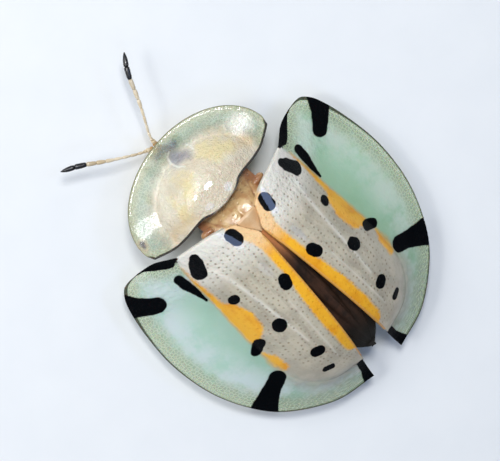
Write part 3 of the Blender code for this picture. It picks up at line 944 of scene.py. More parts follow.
@dataclass(frozen=True)
class WingCase:
    """One wing case: a domed, spotted disc with a flat, clear margin, swung a little open from the scutellum.

    Every place on it is given for the closed case: across and rearwards from the scutellum's tip.
    """

    side: Side
    finish: ShellFinish = ShellFinish()
    opening_deg: float = 4.9
    disc_share: float = 0.6
    fullness: float = 2.6
    flare: float = 1.35
    shoulder: float = 0.05
    collar: float = 0.24
    thickness: float = 0.07
    columns: int = 160
    rows: int = 200
    corner: tuple[float, float] = (0.24, 0.06)  # Shares across and along that are rounded
    front_share: float = 0.12  # How much of the length the front edge's bulges take
    seam_lip: float = 0.035
    seam_roll: tuple[float, float] = (0.05, 0.16)  # Inwards and down
    front_lip: float = 0.035
    front_roll: tuple[float, float] = (0.07, 0.30)  # Forwards and down
    front_roll_rim: float = 0.25  # What is left of the latter at the margin
    plan_widths: tuple[float, float] = (3.6, 3.2)  # The disc's and the margin's
    plan_start: float = 2.0
    ridge_width: float = 0.09
    # The edges: a share of the way along, then the places across and rearwards
    inner_edge: Chain = (
        (0.00, 0.72, -0.92), (0.05, 0.42, -0.45), (0.10, 0.14, 0.00), (0.25, 0.14, 1.45),
        (0.40, 0.14, 3.00), (0.55, 0.14, 4.50), (0.70, 0.14, 5.95), (0.80, 0.14, 6.80), (0.90, 0.14, 7.55),
        (1.00, 0.14, 8.10),
    )
    disc_edge: Chain = (
        (0.00, 3.62, -1.28), (0.05, 3.68, -0.75), (0.10, 3.72, -0.15), (0.25, 3.66, 1.45),
        (0.40, 3.60, 3.15), (0.55, 3.52, 4.80), (0.70, 3.28, 6.35), (0.80, 2.80, 7.35), (0.90, 1.75, 8.20),
        (1.00, 0.14, 8.50),
    )
    rim: Chain = (
        (0.00, 5.45, -1.97), (0.05, 6.18, -1.62), (0.10, 6.60, -0.92), (0.25, 6.895, 0.95),
        (0.40, 6.879, 2.95), (0.55, 6.35, 5.15), (0.70, 5.25, 7.15), (0.80, 4.05, 8.35), (0.90, 2.15, 9.40),
        (1.00, 0.14, 9.719),
    )
    # A share of the way along, then the heights at the suture, at the disc's edge and at the rim
    heights: Sections = (
        (0.00, 4.90, 3.25, 1.95), (0.05, 4.97, 3.10, 1.75), (0.10, 5.05, 3.00, 1.62),
        (0.25, 5.248, 2.92, 1.50), (0.40, 5.22, 2.90, 1.50), (0.55, 4.98, 2.82, 1.50),
        (0.70, 4.52, 2.68, 1.50), (0.80, 4.08, 2.56, 1.50), (0.90, 3.55, 2.48, 1.55),
        (1.00, 3.05, 2.45, 1.60),
    )
    # The marks: chains of dabs, each a place across and rearwards and a radius
    black: Sequence[Chain] = (
        ((6.85, -0.95, 0.64), (6.30, -0.47, 0.46), (5.90, -0.18, 0.42), (5.58, 0.00, 0.39)),
        ((4.12, -0.40, 0.23), (4.06, 0.00, 0.24), (3.90, 0.60, 0.15), (3.80, 1.15, 0.07)),
        ((3.72, 6.32, 0.40), (4.15, 6.60, 0.42), (4.75, 7.05, 0.56), (5.30, 7.45, 0.78)),
        ((0.28, 8.50, 0.22), (0.28, 9.10, 0.25), (0.40, 9.60, 0.28)),
        ((3.04, -0.95, 0.20), (3.12, -0.70, 0.29), (3.30, -0.18, 0.33)),
        ((1.20, -0.80, 0.31), (1.12, -0.50, 0.32)),
        ((2.94, 1.74, 0.24),),
        ((0.74, 2.30, 0.29), (0.80, 2.52, 0.30)),
        ((2.18, 3.88, 0.31), (2.22, 3.98, 0.31)),
        ((1.56, 6.18, 0.26), (1.74, 6.12, 0.26)),
        ((1.55, 7.33, 0.15), (1.85, 7.26, 0.15)),
        ((3.34, 4.26, 0.25), (3.68, 4.58, 0.24)),
    )
    orange: Sequence[Chain] = (
        ((3.82, -0.75, 0.10), (3.70, 0.40, 0.13), (3.58, 1.20, 0.13), (3.50, 1.80, 0.14)),
        ((3.46, 1.85, 0.18), (3.35, 2.15, 0.36), (3.28, 2.75, 0.54), (3.30, 3.45, 0.53), (3.42, 3.88, 0.33)),
        ((3.54, 4.92, 0.13), (3.42, 5.35, 0.30), (3.20, 5.98, 0.20)),
    )
    # The bands: a place rearwards or across, then the band's width there
    suture_band: Profile = (
        (-0.95, 1.25), (-0.40, 1.00), (0.30, 0.66), (1.70, 0.57), (3.20, 0.65), (4.50, 0.72), (6.50, 0.62),
        (7.30, 0.42), (7.60, -0.20),
    )
    front_band: Profile = (
        (3.45, -0.06), (3.72, 0.10), (3.95, 0.34), (4.50, 0.34), (5.10, 0.24), (5.60, 0.20), (6.30, 0.17),
        (6.80, 0.15),
    )
    outline: Profile = ((-1.8, 0.17), (-0.4, 0.15), (0.8, 0.09), (3.0, 0.06), (6.0, 0.04), (9.8, 0.06))
    costae: Sequence[Chain] = (
        ((2.80, 0.10, 0.0), (2.50, 0.90, 0.0), (2.25, 2.10, 0.0), (2.05, 3.30, 0.0), (1.68, 5.40, -0.04)),
        ((1.20, 3.20, -0.07), (1.05, 7.00, -0.07)),
    )

    def cornered(self, u: np.ndarray, v: np.ndarray) -> tuple[np.ndarray, np.ndarray]:
        """Rounds the margin's front corner, by drawing the grid in there.

        Args:
            u: Shares from the suture to the rim.
            v: Shares from the base to the apex.

        Returns:
            The drawn shares.
        """
        wide, deep = self.corner
        a = np.maximum((u - 1) / wide + 1, 0.0)
        b = np.maximum(1 - v / deep, 0.0)
        drawn_u = np.where(a > 0, 1 - wide + wide * a * np.sqrt(1 - b**2 / 2), u)
        drawn_v = np.where(b > 0, deep - deep * b * np.sqrt(1 - a**2 / 2), v)
        return drawn_u, drawn_v

    def closed(self, u: np.ndarray, v: np.ndarray) -> tuple[np.ndarray, np.ndarray, np.ndarray]:
        """Shapes the closed case.

        Args:
            u: Shares from the suture to the rim.
            v: Shares from the base to the apex.

        Returns:
            The points' places across and along, and their heights.
        """
        u, v = self.cornered(np.maximum(u, 0.0), np.maximum(v, 0.0))
        inner, disc, rim = (through(edge, v) for edge in (self.inner_edge, self.disc_edge, self.rim))
        z_inner, z_disc, z_rim = through(self.heights, v).T
        on_disc = u <= self.disc_share
        t = np.where(on_disc, u / self.disc_share, (u - self.disc_share) / (1 - self.disc_share))
        t = t.clip(0.0, 1.0)
        dome = z_disc + (z_inner - z_disc) * (1 - t**self.fullness)
        brim = z_rim + (z_disc - z_rim) * (1 - t) ** self.flare
        start, end = (np.where(on_disc[:, None], one, two) for one, two in ((inner, disc), (disc, rim)))
        plan = start + (end - start) * t[:, None]
        swells = self.collar * np.sin(math.pi * t**0.75), self.shoulder * np.sin(math.pi * t)
        bulge = np.where(on_disc, *swells)
        plan[:, 1] -= bulge * np.maximum(1 - v / self.front_share, 0.0) ** 2
        return plan[:, 0], plan[:, 1], np.where(on_disc, dome, brim)

    def edges(self, u: np.ndarray, v: np.ndarray, x: np.ndarray, y: np.ndarray) -> dict[str, np.ndarray]:
        """Measures how far each point lies from the disc's edge, the rim, the seam and the black marks.

        Args:
            u: Shares from the suture to the rim.
            v: Shares from the base to the apex.
            x: The points' places across.
            y: The points' places along.

        Returns:
            The distances in millimetres, by the names that the finish reads.
        """
        disc_x, disc_y = through(self.disc_edge, v).T
        rim_x, rim_y, _ = self.closed(np.ones_like(u), v)
        from_disc = np.hypot(x - disc_x, y - disc_y) * np.sign(u - self.disc_share)
        from_rim = np.hypot(x - rim_x, y - rim_y)
        front_x, front_y, _ = self.closed(u, np.zeros_like(v))
        from_front = np.hypot(x - front_x, y - front_y)
        inner_x, inner_y = through(self.inner_edge, v).T
        from_front_rim = np.where(u > self.disc_share, from_front, FAR)
        band = from_front - through(self.front_band, x)[:, 0]
        return {
            "margin": from_disc / (1 + 4.0 * step(y, 4.5, 8.0)),
            "rim": np.minimum(from_rim, from_front_rim),
            "outline": through(self.outline, y)[:, 0],
            "seam": np.hypot(x - inner_x, y - inner_y) + 0.3 * (1.0 - step(y, -0.5, 0.3)),
            "black": np.minimum(band, reach(self.black, x, y)),
        }

    def marks(self, x: np.ndarray, y: np.ndarray) -> dict[str, np.ndarray]:
        """Lays out the colours.

        Args:
            x: The points' places across.
            y: The points' places along.

        Returns:
            Distances outside the orange marks, and shares of the ridges, base, peach and collar.
        """
        band = x - through(self.suture_band, y)[:, 0]
        ridge = np.zeros_like(x)
        for line in self.costae:
            ridge = np.maximum(ridge, hump(reach((line,), x, y), 0.0, self.ridge_width))
        return {
            "orange": np.minimum(band, reach(self.orange, x, y)),
            "ridge": ridge,
            "base": 1.0 - step(y, -0.1, 1.3),
            "peach": (1.0 - step(y, -0.1, 1.3)) * (1.0 - step(x, 1.5, 2.3)),
            "collar": (1.0 - step(y + 0.1 * x, -0.85, -0.25)) * step(x, 1.3, 1.8),
        }

    def build(self) -> None:
        """Models and dresses the case."""
        case, u, v = plane_of(f"wing_case_{self.side.word}", self.columns, self.rows)
        u = u * (1 + self.seam_lip) - self.seam_lip
        v = v * (1 + self.front_lip) - self.front_lip
        x, y, z = self.closed(u, v)
        tags = self.edges(np.maximum(u, 0.0), np.maximum(v, 0.0), x, y) | self.marks(x, y)
        for name, values in tags.items():
            tagged(case, name, values)
        disc_width, margin_width = self.plan_widths
        outer = disc_width + np.maximum(u - self.disc_share, 0.0) / (1 - self.disc_share) * margin_width
        row = np.where(u <= self.disc_share, disc_width * np.maximum(u, 0.0) / self.disc_share, outer)
        unwrapped(case, np.stack([row, y + self.plan_start], axis=1) / PLAN_SPAN)
        roll = np.clip(-u / self.seam_lip, 0.0, 1.0) * math.pi / 2
        fold = np.clip(-v / self.front_lip, 0.0, 1.0) * math.pi / 2
        deep = 1.0 - (1.0 - self.front_roll_rim) * step(u, self.disc_share - 0.1, self.disc_share + 0.1)
        x = x - self.seam_roll[0] * np.sin(roll)
        y = y - self.front_roll[0] * np.sin(fold) * (1.0 - step(u, 0.7, 0.98))
        z = z - self.seam_roll[1] * (1 - np.cos(roll)) - self.front_roll[1] * deep * (1 - np.cos(fold))
        turn = math.radians(self.opening_deg)
        across = x * math.cos(turn) + y * math.sin(turn)
        rearwards = y * math.cos(turn) - x * math.sin(turn)
        put_points(case, np.stack([self.side.value * across, rearwards, z], axis=1))
        if self.side is Side.RIGHT:
            flipped(case)
        thickened(case, self.thickness)
        smooth(case)
        finished(case, self.finish.make(f"enamel_{self.side.word}"), Slot.ELYTRA, f"elytron_{self.side.word}")


@dataclass(frozen=True)
class Front:
    """The turn of the shield, the prothorax and the head to the beetle's left."""

    yaw_deg: float = 3.0
    pivot: Point = (0.0, -1.9, 0.0)

    def turn(self) -> Matrix:
        """The turn, for points in millimetres."""
        pivot = Matrix.Translation(self.pivot)
        return pivot @ Matrix.Rotation(math.radians(self.yaw_deg), 4, "Z") @ pivot.inverted()

    def turned(self, point: Point) -> Vector:
        """One point carried along with the turn."""
        return self.turn() @ Vector(point)


@dataclass(frozen=True)
class Shield:
    """The pronotum: a domed disc with a wide, clear rim, in its own level frame across and forwards."""

    front: Front = Front()
    finish: ShieldFinish = ShieldFinish()
    place: Point = (0.12, -2.44, 3.05)
    pitch_deg: float = 13.0
    half_width: float = 4.16
    depth: float = 2.93
    widest_at: float = 0.48
    rear_edge: Chain = (
        (4.03, 0.06, 0.0), (3.15, -0.33, 0.0), (2.43, -0.45, 0.0), (1.35, -0.47, 0.0), (0.85, -0.66, 0.0),
        (0.00, -0.76, 0.0),
    )
    disc: Point = (2.75, 2.1, 2.6)  # Half width, then reach forwards and rearwards
    disc_centre: float = 0.2
    disc_scale: float = 2.3
    dome: float = 1.3
    fullness: float = 2.2
    rim_rise: float = 0.3
    rim_share: float = 0.47
    middle: tuple[float, float] = (0.0, 0.9)
    amber: Sequence[Chain] = (
        ((-1.2, 1.35, 0.45), (-2.1, 0.95, 0.45)),
        ((0.4, 1.2, 0.35), (1.6, 0.4, 0.35)),
    )
    tan: Sequence[Chain] = (((-2.6, 0.5, 0.35), (-3.1, 0.3, 0.25)), ((2.5, 0.2, 0.3), (1.6, -0.1, 0.2)))
    white: Sequence[Chain] = (((-3.1, 1.15, 0.38), (-3.5, 0.8, 0.34)),)
    # Painted shade: where the shaded head shows through the clear rim
    dusk: Sequence[Chain] = (
        ((0.35, 2.95, 0.24), (0.0, 3.0, 0.30), (-0.5, 2.8, 0.28)),
        ((-0.15, 2.3, 0.42), (-0.5, 2.1, 0.32)),
    )
    speck: Sequence[Chain] = (((3.84, 0.98, 0.13), (3.9, 0.78, 0.08)),)
    arcs: Sequence[Chain] = (
        ((-0.05, 1.72, 0.0), (0.16, 1.95, 0.01), (0.22, 2.3, 0.02), (0.1, 2.6, 0.01), (-0.15, 2.72, 0.0)),
        ((-0.8, 2.5, 0.0), (-0.98, 2.2, 0.01), (-0.92, 1.9, 0.0)),
    )
    thickness: float = 0.13
    around: int = 260
    rings: int = 90

    def outline(self, shares: np.ndarray) -> np.ndarray:
        """Walks round the rim, from the left corner by the front and back by the rear.

        Args:
            shares: Shares of the way round.

        Returns:
            The rim's points, across and forwards.
        """
        turns = np.linspace(0.0, math.pi, 80)
        ahead = self.widest_at + self.depth * np.sin(turns)
        front = np.stack([self.half_width * np.cos(turns), ahead], axis=1)
        half = np.array([along(self.rear_edge, k / 24)[:2] for k in range(25)])
        rear = np.concatenate([half * (-1.0, 1.0), half[-2::-1]])
        whole = np.concatenate([front, rear, front[:1]])
        way = np.concatenate([[0.0], np.cumsum(np.hypot(*np.diff(whole, axis=0).T))])
        return np.stack([np.interp(shares * way[-1], way, whole[:, k]) for k in (0, 1)], axis=1)

    def swell(self, x: np.ndarray, y: np.ndarray) -> np.ndarray:
        """How far out of the disc's middle points lie: 1 at its edge."""
        reach_y = np.where(y > self.disc_centre, self.disc[1], self.disc[2])
        return np.hypot(x / self.disc[0], (y - self.disc_centre) / reach_y)

    def height(self, x: np.ndarray, y: np.ndarray) -> np.ndarray:
        """The shield's height over its own level plane.

        Args:
            x: The points' places across.
            y: The points' places forwards.

        Returns:
            The heights.
        """
        rho = self.swell(x, y)
        dome = self.rim_rise + self.dome * (1 - np.minimum(rho, 1.0) ** self.fullness)
        brim = self.rim_rise * np.maximum(0.0, 1 - (rho - 1) / self.rim_share)
        return np.where(rho < 1, dome, brim)

    def build(self) -> None:
        """Models and dresses the shield."""
        shield, u, v = plane_of("shield", self.rings, self.around)
        rim = self.outline(v)
        x, y = (np.array(self.middle) + (rim - self.middle) * u[:, None]).T
        line = self.outline(np.linspace(0.0, 1.0, 400))
        gaps = np.stack([np.hypot(x - px, y - py) for px, py in line])
        nearest = line[gaps.argmin(axis=0)]
        tagged(shield, "disc", (self.swell(x, y) - 1.0) * self.disc_scale)
        for name in ("amber", "tan", "white", "dusk", "speck", "arcs"):
            tagged(shield, name, reach(getattr(self, name), x, y))
        tagged(shield, "rim", gaps.min(axis=0))
        rear = 1.0 - step(nearest[:, 1], 0.1, 0.5)
        tagged(shield, "rear", rear * (1.0 - np.exp(-((nearest[:, 0] / 0.8) ** 4))))
        unwrapped(shield, np.stack([x, y], axis=1) / PLAN_SPAN + 0.5)
        put_points(shield, np.stack([x, -y, self.height(x, y)], axis=1))
        outward(shield)
        if sum(face.normal.z for face in shield.data.polygons) < 0:
            flipped(shield)
        thickened(shield, self.thickness)
        level = Matrix.Translation(self.place) @ Matrix.Rotation(math.radians(self.pitch_deg), 4, "X")
        placed(shield, self.front.turn() @ level)
        smooth(shield)
        finished(shield, self.finish.make("shield_enamel"), Slot.PRONOTUM, "pronotum")


@dataclass(frozen=True)
class BackPlates:
    """The honey-brown plate with its hinges between shield and wing cases, and the scutellum on it."""

    finish: CuticleFinish = CuticleFinish(
        tone(204, 174, 124),
        tone(176, 134, 88),
        roughness=0.34,
        coat=0.6,
        pore_scale=4.5,
        pore_depth=0.03,
        drift=2.6,
        tip_tone=tone(142, 84, 52),
    )
    scutellum_finish: CuticleFinish = CuticleFinish(tone(210, 178, 136), tone(198, 158, 112), roughness=0.3)
    profile: Profile = (
        (-2.20, 3.60), (-1.85, 3.68), (-1.55, 3.98), (-1.35, 4.14), (-1.10, 4.24), (-0.70, 4.36),
    )
    half_width: float = 1.75
    side_drop: float = 0.5
    base_drop: float = 0.05
    swelling: tuple[float, float, float] = (0.05, 0.62, 0.28)  # Height, place across and width
    groove: tuple[float, float] = (0.07, 0.1)  # Depth and width
    crease_at: float = 0.45
    crease: tuple[float, float] = (0.06, 0.06)  # Depth and width
    thickness: float = 0.3
    knob: Point = (1.72, -1.45, 3.62)
    knob_radii: Point = (0.36, 0.28, 0.27)
    scutellum_half: float = 0.60
    scutellum_span: tuple[float, float] = (-1.06, 0.06)  # Front edge and tip
    scutellum_top: float = 4.92
    scutellum_thickness: float = 0.4

    def creased(self, x: np.ndarray, y: np.ndarray, width: float) -> np.ndarray:
        """How near points lie to the slanting crease at either side, 1 in it."""
        return hump(np.abs(x) + 0.5 * y, self.crease_at, width)

    def plate(self) -> Piece:
        """The plate: arched, with a groove down the middle and a swelling and a crease at each side.

        Returns:
            The plate.
        """
        plate, u, v = plane_of("mesonotum_plate", 70, 36)
        x = self.half_width * (2 * u - 1)
        y = self.profile[0][0] + (self.profile[-1][0] - self.profile[0][0]) * v
        z = through(self.profile, y)[:, 0] - self.side_drop * (x / self.half_width) ** 2 - self.base_drop
        high, swelling_at, swelling_width = self.swelling
        z += high * hump(np.abs(x), swelling_at, swelling_width)
        z -= self.groove[0] * hump(x, 0.0, self.groove[1])
        z -= self.crease[0] * self.creased(x, y, self.crease[1])
        put_points(plate, np.stack([x, y, z], axis=1))
        thickened(plate, self.thickness)
        return plate

    def hinge(self, side: Side) -> Piece:
        """One hinge: a rounded knob with a waist, lying across.

        Args:
            side: The side.

        Returns:
            The hinge.
        """
        rx, ry, rz = self.knob_radii
        rings = [(-1.2, 0.3), (-0.9, 0.62), (-0.4, 0.78), (0.05, 0.66), (0.3, 0.74), (0.7, 0.55), (0.9, 0.15)]
        knob = grown(f"hinge_{side.word}", [Station(rx * z, rz * r, ry * r) for z, r in rings], 18)
        subdivided(knob)
        centre = Vector((side.value * self.knob[0], self.knob[1], self.knob[2]))
        placed(knob, aimed(centre, centre + Vector((side.value, -0.1, -0.12))))
        return knob

    def build(self) -> None:
        """Models and dresses the plates."""
        whole = joined([self.plate(), self.hinge(Side.LEFT), self.hinge(Side.RIGHT)], "mesonotum_plate")
        x, y, _ = points_of(whole).T
        hinges = step(np.abs(x), 1.2, 1.5) * (1.0 - 0.5 * step(np.abs(x), 1.7, 2.0))
        tagged(whole, "tip", np.maximum(0.75 * hinges, 0.6 * self.creased(x, y, 0.05)))
        smooth(whole)
        finished(whole, self.finish.make("honey_cuticle"), Slot.BROWN, "mesonotum")
        scutellum, u, v = plane_of("scutellum_plate", 28, 32)
        front, tip = self.scutellum_span
        wide = self.scutellum_half * (1 - v) ** 0.95 * (1 - 0.12 * hump(v, 0.0, 0.1)) + 0.03
        x = wide * (2 * u - 1)
        crown = 1 - (2 * u - 1) ** 2
        z = self.scutellum_top - 0.14 + 0.11 * crown * (1 - 0.5 * v) - 0.06 * hump(v, 0.0, 0.06)
        put_points(scutellum, np.stack([x, front + (tip - front) * v, z], axis=1))
        thickened(scutellum, self.scutellum_thickness, even=False)
        smooth(scutellum)
        finished(scutellum, self.scutellum_finish.make("scutellum_enamel"), Slot.ELYTRA, "scutellum")


@dataclass(frozen=True)
class HindWing:
    """One folded hind wing: a thin, smoky, pleated membrane with raised veins, lying on the back."""

    side: Side
    case: WingCase
    finish: MembraneFinish = MembraneFinish()
    span: tuple[float, float] = (-0.65, 8.35)
    widths: Profile = (
        (0.0, 0.9), (0.15, 2.0), (0.4, 2.45), (0.65, 2.0), (0.82, 1.1), (0.93, 0.5), (0.98, 0.1),
        (1.0, -0.2),
    )
    lap: float = 0.12
    spare: float = 0.17
    drop: Profile = ((-0.65, 0.42), (1.5, 0.45), (4.0, 0.8), (8.35, 0.8))
    arch: tuple[float, float] = (1.9, 3.6)  # How far it falls, at this half width
    arch_loss: float = 0.55
    tail_lift: tuple[float, float] = (6.0, 0.16)  # From here on, and how steeply
    right_drop: float = 0.09
    vein_count: float = 3.0
    vein_rise: float = 0.09
    pleat_rise: float = 0.03
    thickness: float = 0.035

    def build(self) -> None:
        """Models and dresses the wing."""
        wing, u, v = plane_of(f"folded_wing_{self.side.word}", 130, 150)
        y = self.span[0] + (self.span[1] - self.span[0]) * v
        wide = through(self.widths, v)[:, 0] + self.spare + self.lap
        x = wide * u - self.lap
        stops = [(e[2], h[1]) for e, h in zip(self.case.inner_edge[2:], self.case.heights[2:])]
        fall, half_width = self.arch
        arch = fall * (x / half_width) ** 2 * (1 - self.arch_loss * v)
        z = through(stops, y)[:, 0] - through(self.drop, y)[:, 0] - arch
        lift_from, lift = self.tail_lift
        z += np.where(y > lift_from, lift * (y - lift_from), 0.0)
        ends = np.minimum(1.0, np.minimum(5 * v, 2.5 * (1 - v)))
        vein = np.maximum(0.0, -np.cos(2 * math.pi * u * self.vein_count)) ** 7 * ends
        pleat = np.sin(x * 17.0 + 2.2 * np.sin(y * 0.9)) * 0.5 + np.sin(x * 6.0 - y * 1.7 + 0.6) * 0.5
        z += self.vein_rise * vein + self.pleat_rise * pleat * ends
        z -= 0.0 if self.side is Side.LEFT else self.right_drop
        tagged(wing, "vein", vein * 0.8)
        tagged(wing, "root", 1.0 - step(y, 0.0, 2.3))
        # Painted shade: how far the tail is darkened
        tagged(wing, "tail", step(y, 5.5, 7.8))
        put_points(wing, np.stack([self.side.value * x, y, z], axis=1))
        if self.side is Side.RIGHT:
            flipped(wing)
        thickened(wing, self.thickness, even=False)
        smooth(wing)
        membrane = self.finish.make(f"membrane_{self.side.word}")
        finished(wing, membrane, Slot.WING, f"hindwing_{self.side.word}")


@dataclass(frozen=True)
class Trunk:
    """Prothorax, winged thorax and abdomen: rounded bodies pinched between their segments."""

    front: Front = Front()
    pale: CuticleFinish = CuticleFinish(tone(206, 170, 96), tone(176, 132, 66), roughness=0.28)
    dark: CuticleFinish = CuticleFinish(tone(62, 44, 30), tone(30, 22, 18), roughness=0.26, pore_scale=6.0)
    groove_depth: float = 0.09
    groove_width: float = 0.05
    end_bevel: float = 0.08
    # The bodies: a place along, then the half width, the underside and the top
    prothorax: Sections = (
        (-4.15, 0.75, 1.30, 1.95), (-3.85, 1.10, 1.14, 2.45), (-3.30, 1.45, 1.12, 3.05),
        (-2.80, 1.55, 1.18, 3.35), (-2.45, 1.40, 1.32, 3.40),
    )
    pterothorax: Sections = (
        (-2.05, 1.20, 1.50, 2.80), (-1.60, 1.60, 1.32, 3.05), (-0.80, 2.10, 1.24, 3.35),
        (0.20, 2.35, 1.22, 3.62), (1.40, 2.40, 1.22, 3.70), (2.55, 2.40, 1.26, 3.66),
    )
    abdomen: Sections = (
        (2.82, 2.36, 1.26, 3.64), (3.95, 2.40, 1.22, 3.50), (4.75, 2.30, 1.22, 3.25),
        (5.50, 2.05, 1.28, 2.95), (6.20, 1.70, 1.36, 2.60), (6.90, 1.20, 1.48, 2.25),
        (7.45, 0.55, 1.62, 1.98),
    )

    def body(self, name: str, stops: Sections, grooves: Sequence[float], turn: Matrix) -> Piece:
        """Grows one body along the animal's length.

        Args:
            name: Its name.
            stops: Places along it, each with its half width, underside and top.
            grooves: Where its segments meet.
            turn: How it is turned afterwards.

        Returns:
            The body.
        """
        first, last = stops[0][0], stops[-1][0]
        places = set(np.linspace(first, last, 22))
        places |= {groove + shift for groove in grooves for shift in (-0.08, -0.03, 0.0, 0.05, 0.14)}
        rings = []
        for place in sorted(places):
            half_width, low, high = through(stops, np.array([place]))[0]
            pinch = sum(self.groove_depth * hump(place, groove, self.groove_width) for groove in grooves)
            shrink = pinch + (0.0 if first < place < last else self.end_bevel)
            rings.append(Station(place, half_width - shrink, (high - low) / 2 - shrink, -(high + low) / 2))
        grown_body = grown(name, rings, 40)
        flat = Matrix(((1, 0, 0, 0), (0, 0, 1, 0), (0, -1, 0, 0), (0, 0, 0, 1)))
        placed(grown_body, turn @ flat)
        smooth(grown_body, 50.0)
        return grown_body

    def build(self) -> None:
        """Models and dresses the three bodies."""
        level = Matrix.Identity(4)
        pale = self.pale.make("prothorax_cuticle")
        dark = self.dark.make("underside_cuticle")
        fore = self.body("prothorax_body", self.prothorax, (), self.front.turn())
        winged = self.body("pterothorax_body", self.pterothorax, (-0.95, 1.05), level)
        rear = self.body("abdomen_body", self.abdomen, (4.0, 4.85, 5.6, 6.3), level)
        finished(fore, pale, Slot.PALE, "prothorax")
        finished(winged, dark, Slot.DARK, "pterothorax")
        finished(rear, dark, Slot.DARK, "abdomen")


@dataclass(frozen=True)
class Head:
    """The head, bent down under the shield, with its mouthparts, palps and eyes."""

    front: Front = Front()
    finish: CuticleFinish = CuticleFinish(tone(214, 176, 104), tone(178, 130, 66), roughness=0.26)
    eye_finish: EyeFinish = EyeFinish()
    centre: Point = (0.18, -4.84, 1.32)
    radii: Point = (0.62, 0.48, 0.66)
    eye_radii: Point = (0.26, 0.40, 0.46)
    eye_tilt_deg: float = 12.0
    eye_gap: float = 0.05

    def at(self, dx: float, dy: float, dz: float) -> Vector:
        """A point by the head's centre, carried along with its turn."""
        x, y, z = self.centre
        return self.front.turned((x + dx, y + dy, z + dz))

    def limb(self, name: str, start: Vector, end: Vector, profile: Profile) -> Piece:
        """A rounded part between two points."""
        return spindle(name, start, end, profile, 14)

    def capsule(self) -> Piece:
        """The skull, with the frons, clypeus and labrum.

        Returns:
            The joined parts.
        """
        skull = ellipsoid("head_capsule", self.radii, 12, 28, 0.03)
        centre = self.at(0.0, 0.0, 0.0)
        placed(skull, aimed(centre, centre + Vector((0.0, 0.0, 1.0)), Vector((0.0, 1.0, 0.0))))
        egg = ((0.0, 0.04), (0.12, 0.2), (0.4, 0.36), (0.7, 0.34), (0.92, 0.18), (1.0, 0.04))
        frons = self.limb("frons", self.at(0.0, -0.3, 0.55), self.at(0.0, -0.3, -0.3), egg)
        flap = ((0.0, 0.05), (0.15, 0.22), (0.6, 0.28), (0.9, 0.2), (1.0, 0.05))
        clypeus = self.limb("clypeus", self.at(0.0, -0.24, -0.15), self.at(0.0, -0.22, -0.78), flap)
        return joined([skull, frons, clypeus], "head_capsule")

    def mouth(self, side: Side) -> Piece:
        """One side's jaw and three-jointed palp.

        Args:
            side: The side.

        Returns:
            The joined parts.
        """
        s = side.value
        blade = ((0.0, 0.08), (0.2, 0.14), (0.6, 0.11), (0.9, 0.05), (1.0, 0.015))
        jaw = self.limb("jaw", self.at(s * 0.27, -0.14, -0.5), self.at(s * 0.06, -0.28, -0.88), blade)
        joint = ((0.0, 0.03), (0.15, 0.05), (0.7, 0.065), (1.0, 0.035))
        knots = ((0.3, -0.05, -0.62), (0.4, -0.1, -0.76), (0.38, -0.22, -0.88), (0.33, -0.38, -0.9))
        stops = [self.at(s * across, dy, dz) for across, dy, dz in knots]
        palp = [self.limb("palp", one, two, joint) for one, two in zip(stops, stops[1:])]
        return joined([jaw, *palp], f"mouth_{side.word}")

    def eye(self, side: Side) -> Piece:
        """One bulging eye.

        Args:
            side: The side.

        Returns:
            The eye.
        """
        eye = ellipsoid(f"eyeball_{side.word}", self.eye_radii, 16, 32, 0.015)
        centre = self.at(side.value * (self.radii[0] + self.eye_gap + self.eye_radii[0]), 0.0, 0.1)
        tilt = math.radians(90.0 + side.value * self.eye_tilt_deg + self.front.yaw_deg)
        up = Vector((math.cos(tilt), math.sin(tilt), 0.0))
        placed(eye, aimed(centre, centre + Vector((0.0, 0.0, 1.0)), up))
        smooth(eye, 80.0)
        return eye

    def build(self) -> None:
        """Models and dresses head and eyes."""
        head = joined([self.capsule(), self.mouth(Side.LEFT), self.mouth(Side.RIGHT)], "head_capsule")
        smooth(head, 60.0)
        finished(head, self.finish.make("head_cuticle"), Slot.PALE, "head")
        for side in Side:
            facets = self.eye_finish.make(f"facets_{side.word}")
            finished(self.eye(side), facets, Slot.EYE, f"eye_{side.word}")


@dataclass(frozen=True)
class SoftSkins:
    """The soft skins that close the joints of head, thorax and abdomen, and the sockets of the feelers."""

    front: Front = Front()
    finish: CuticleFinish = CuticleFinish(tone(198, 158, 94), tone(158, 116, 62), roughness=0.42, coat=0.15)
    neck: tuple[Point, Point] = ((0.18, -4.56, 1.44), (0.05, -3.98, 1.60))
    neck_profile: Profile = ((0.0, 0.34), (0.3, 0.42), (0.45, 0.38), (0.6, 0.44), (1.0, 0.4))
    neck_flat: float = 0.55
    sockets: tuple[tuple[Point, Point], ...] = (
        ((0.45, -5.34, 1.39), (0.52, -5.66, 1.42)),
        ((0.23, -5.36, 1.39), (0.17, -5.68, 1.42)),
    )
    socket_profile: Profile = ((0.0, 0.1), (0.3, 0.14), (0.6, 0.15), (0.85, 0.13), (1.0, 0.09))
    collar: Sections = (
        (-2.66, 1.14, 1.52, 3.00), (-2.42, 1.16, 1.56, 2.95), (-2.24, 1.08, 1.64, 2.80),
        (-2.08, 1.12, 1.62, 2.76), (-1.90, 1.08, 1.62, 2.70),
    )
    waist: Sections = (
        (2.36, 2.16, 1.42, 3.46), (2.58, 2.20, 1.40, 3.50), (2.70, 2.12, 1.46, 3.44),
        (2.82, 2.18, 1.42, 3.48), (3.04, 2.16, 1.42, 3.42),
    )

    def build(self) -> None:
        """Models and dresses the skins."""
        start, end = (self.front.turned(point) for point in self.neck)
        parts = [spindle("neck_skin", start, end, self.neck_profile, 20, self.neck_flat)]
        for root, tip in self.sockets:
            parts.append(spindle("feeler_socket", Vector(root), Vector(tip), self.socket_profile, 20))
        trunk = Trunk()
        parts.append(trunk.body("collar_skin", self.collar, (), Matrix.Identity(4)))
        parts.append(trunk.body("waist_skin", self.waist, (), Matrix.Identity(4)))
        skins = joined(parts, "soft_skins")
        smooth(skins, 60.0)
        finished(skins, self.finish.make("soft_skin"), Slot.PALE)


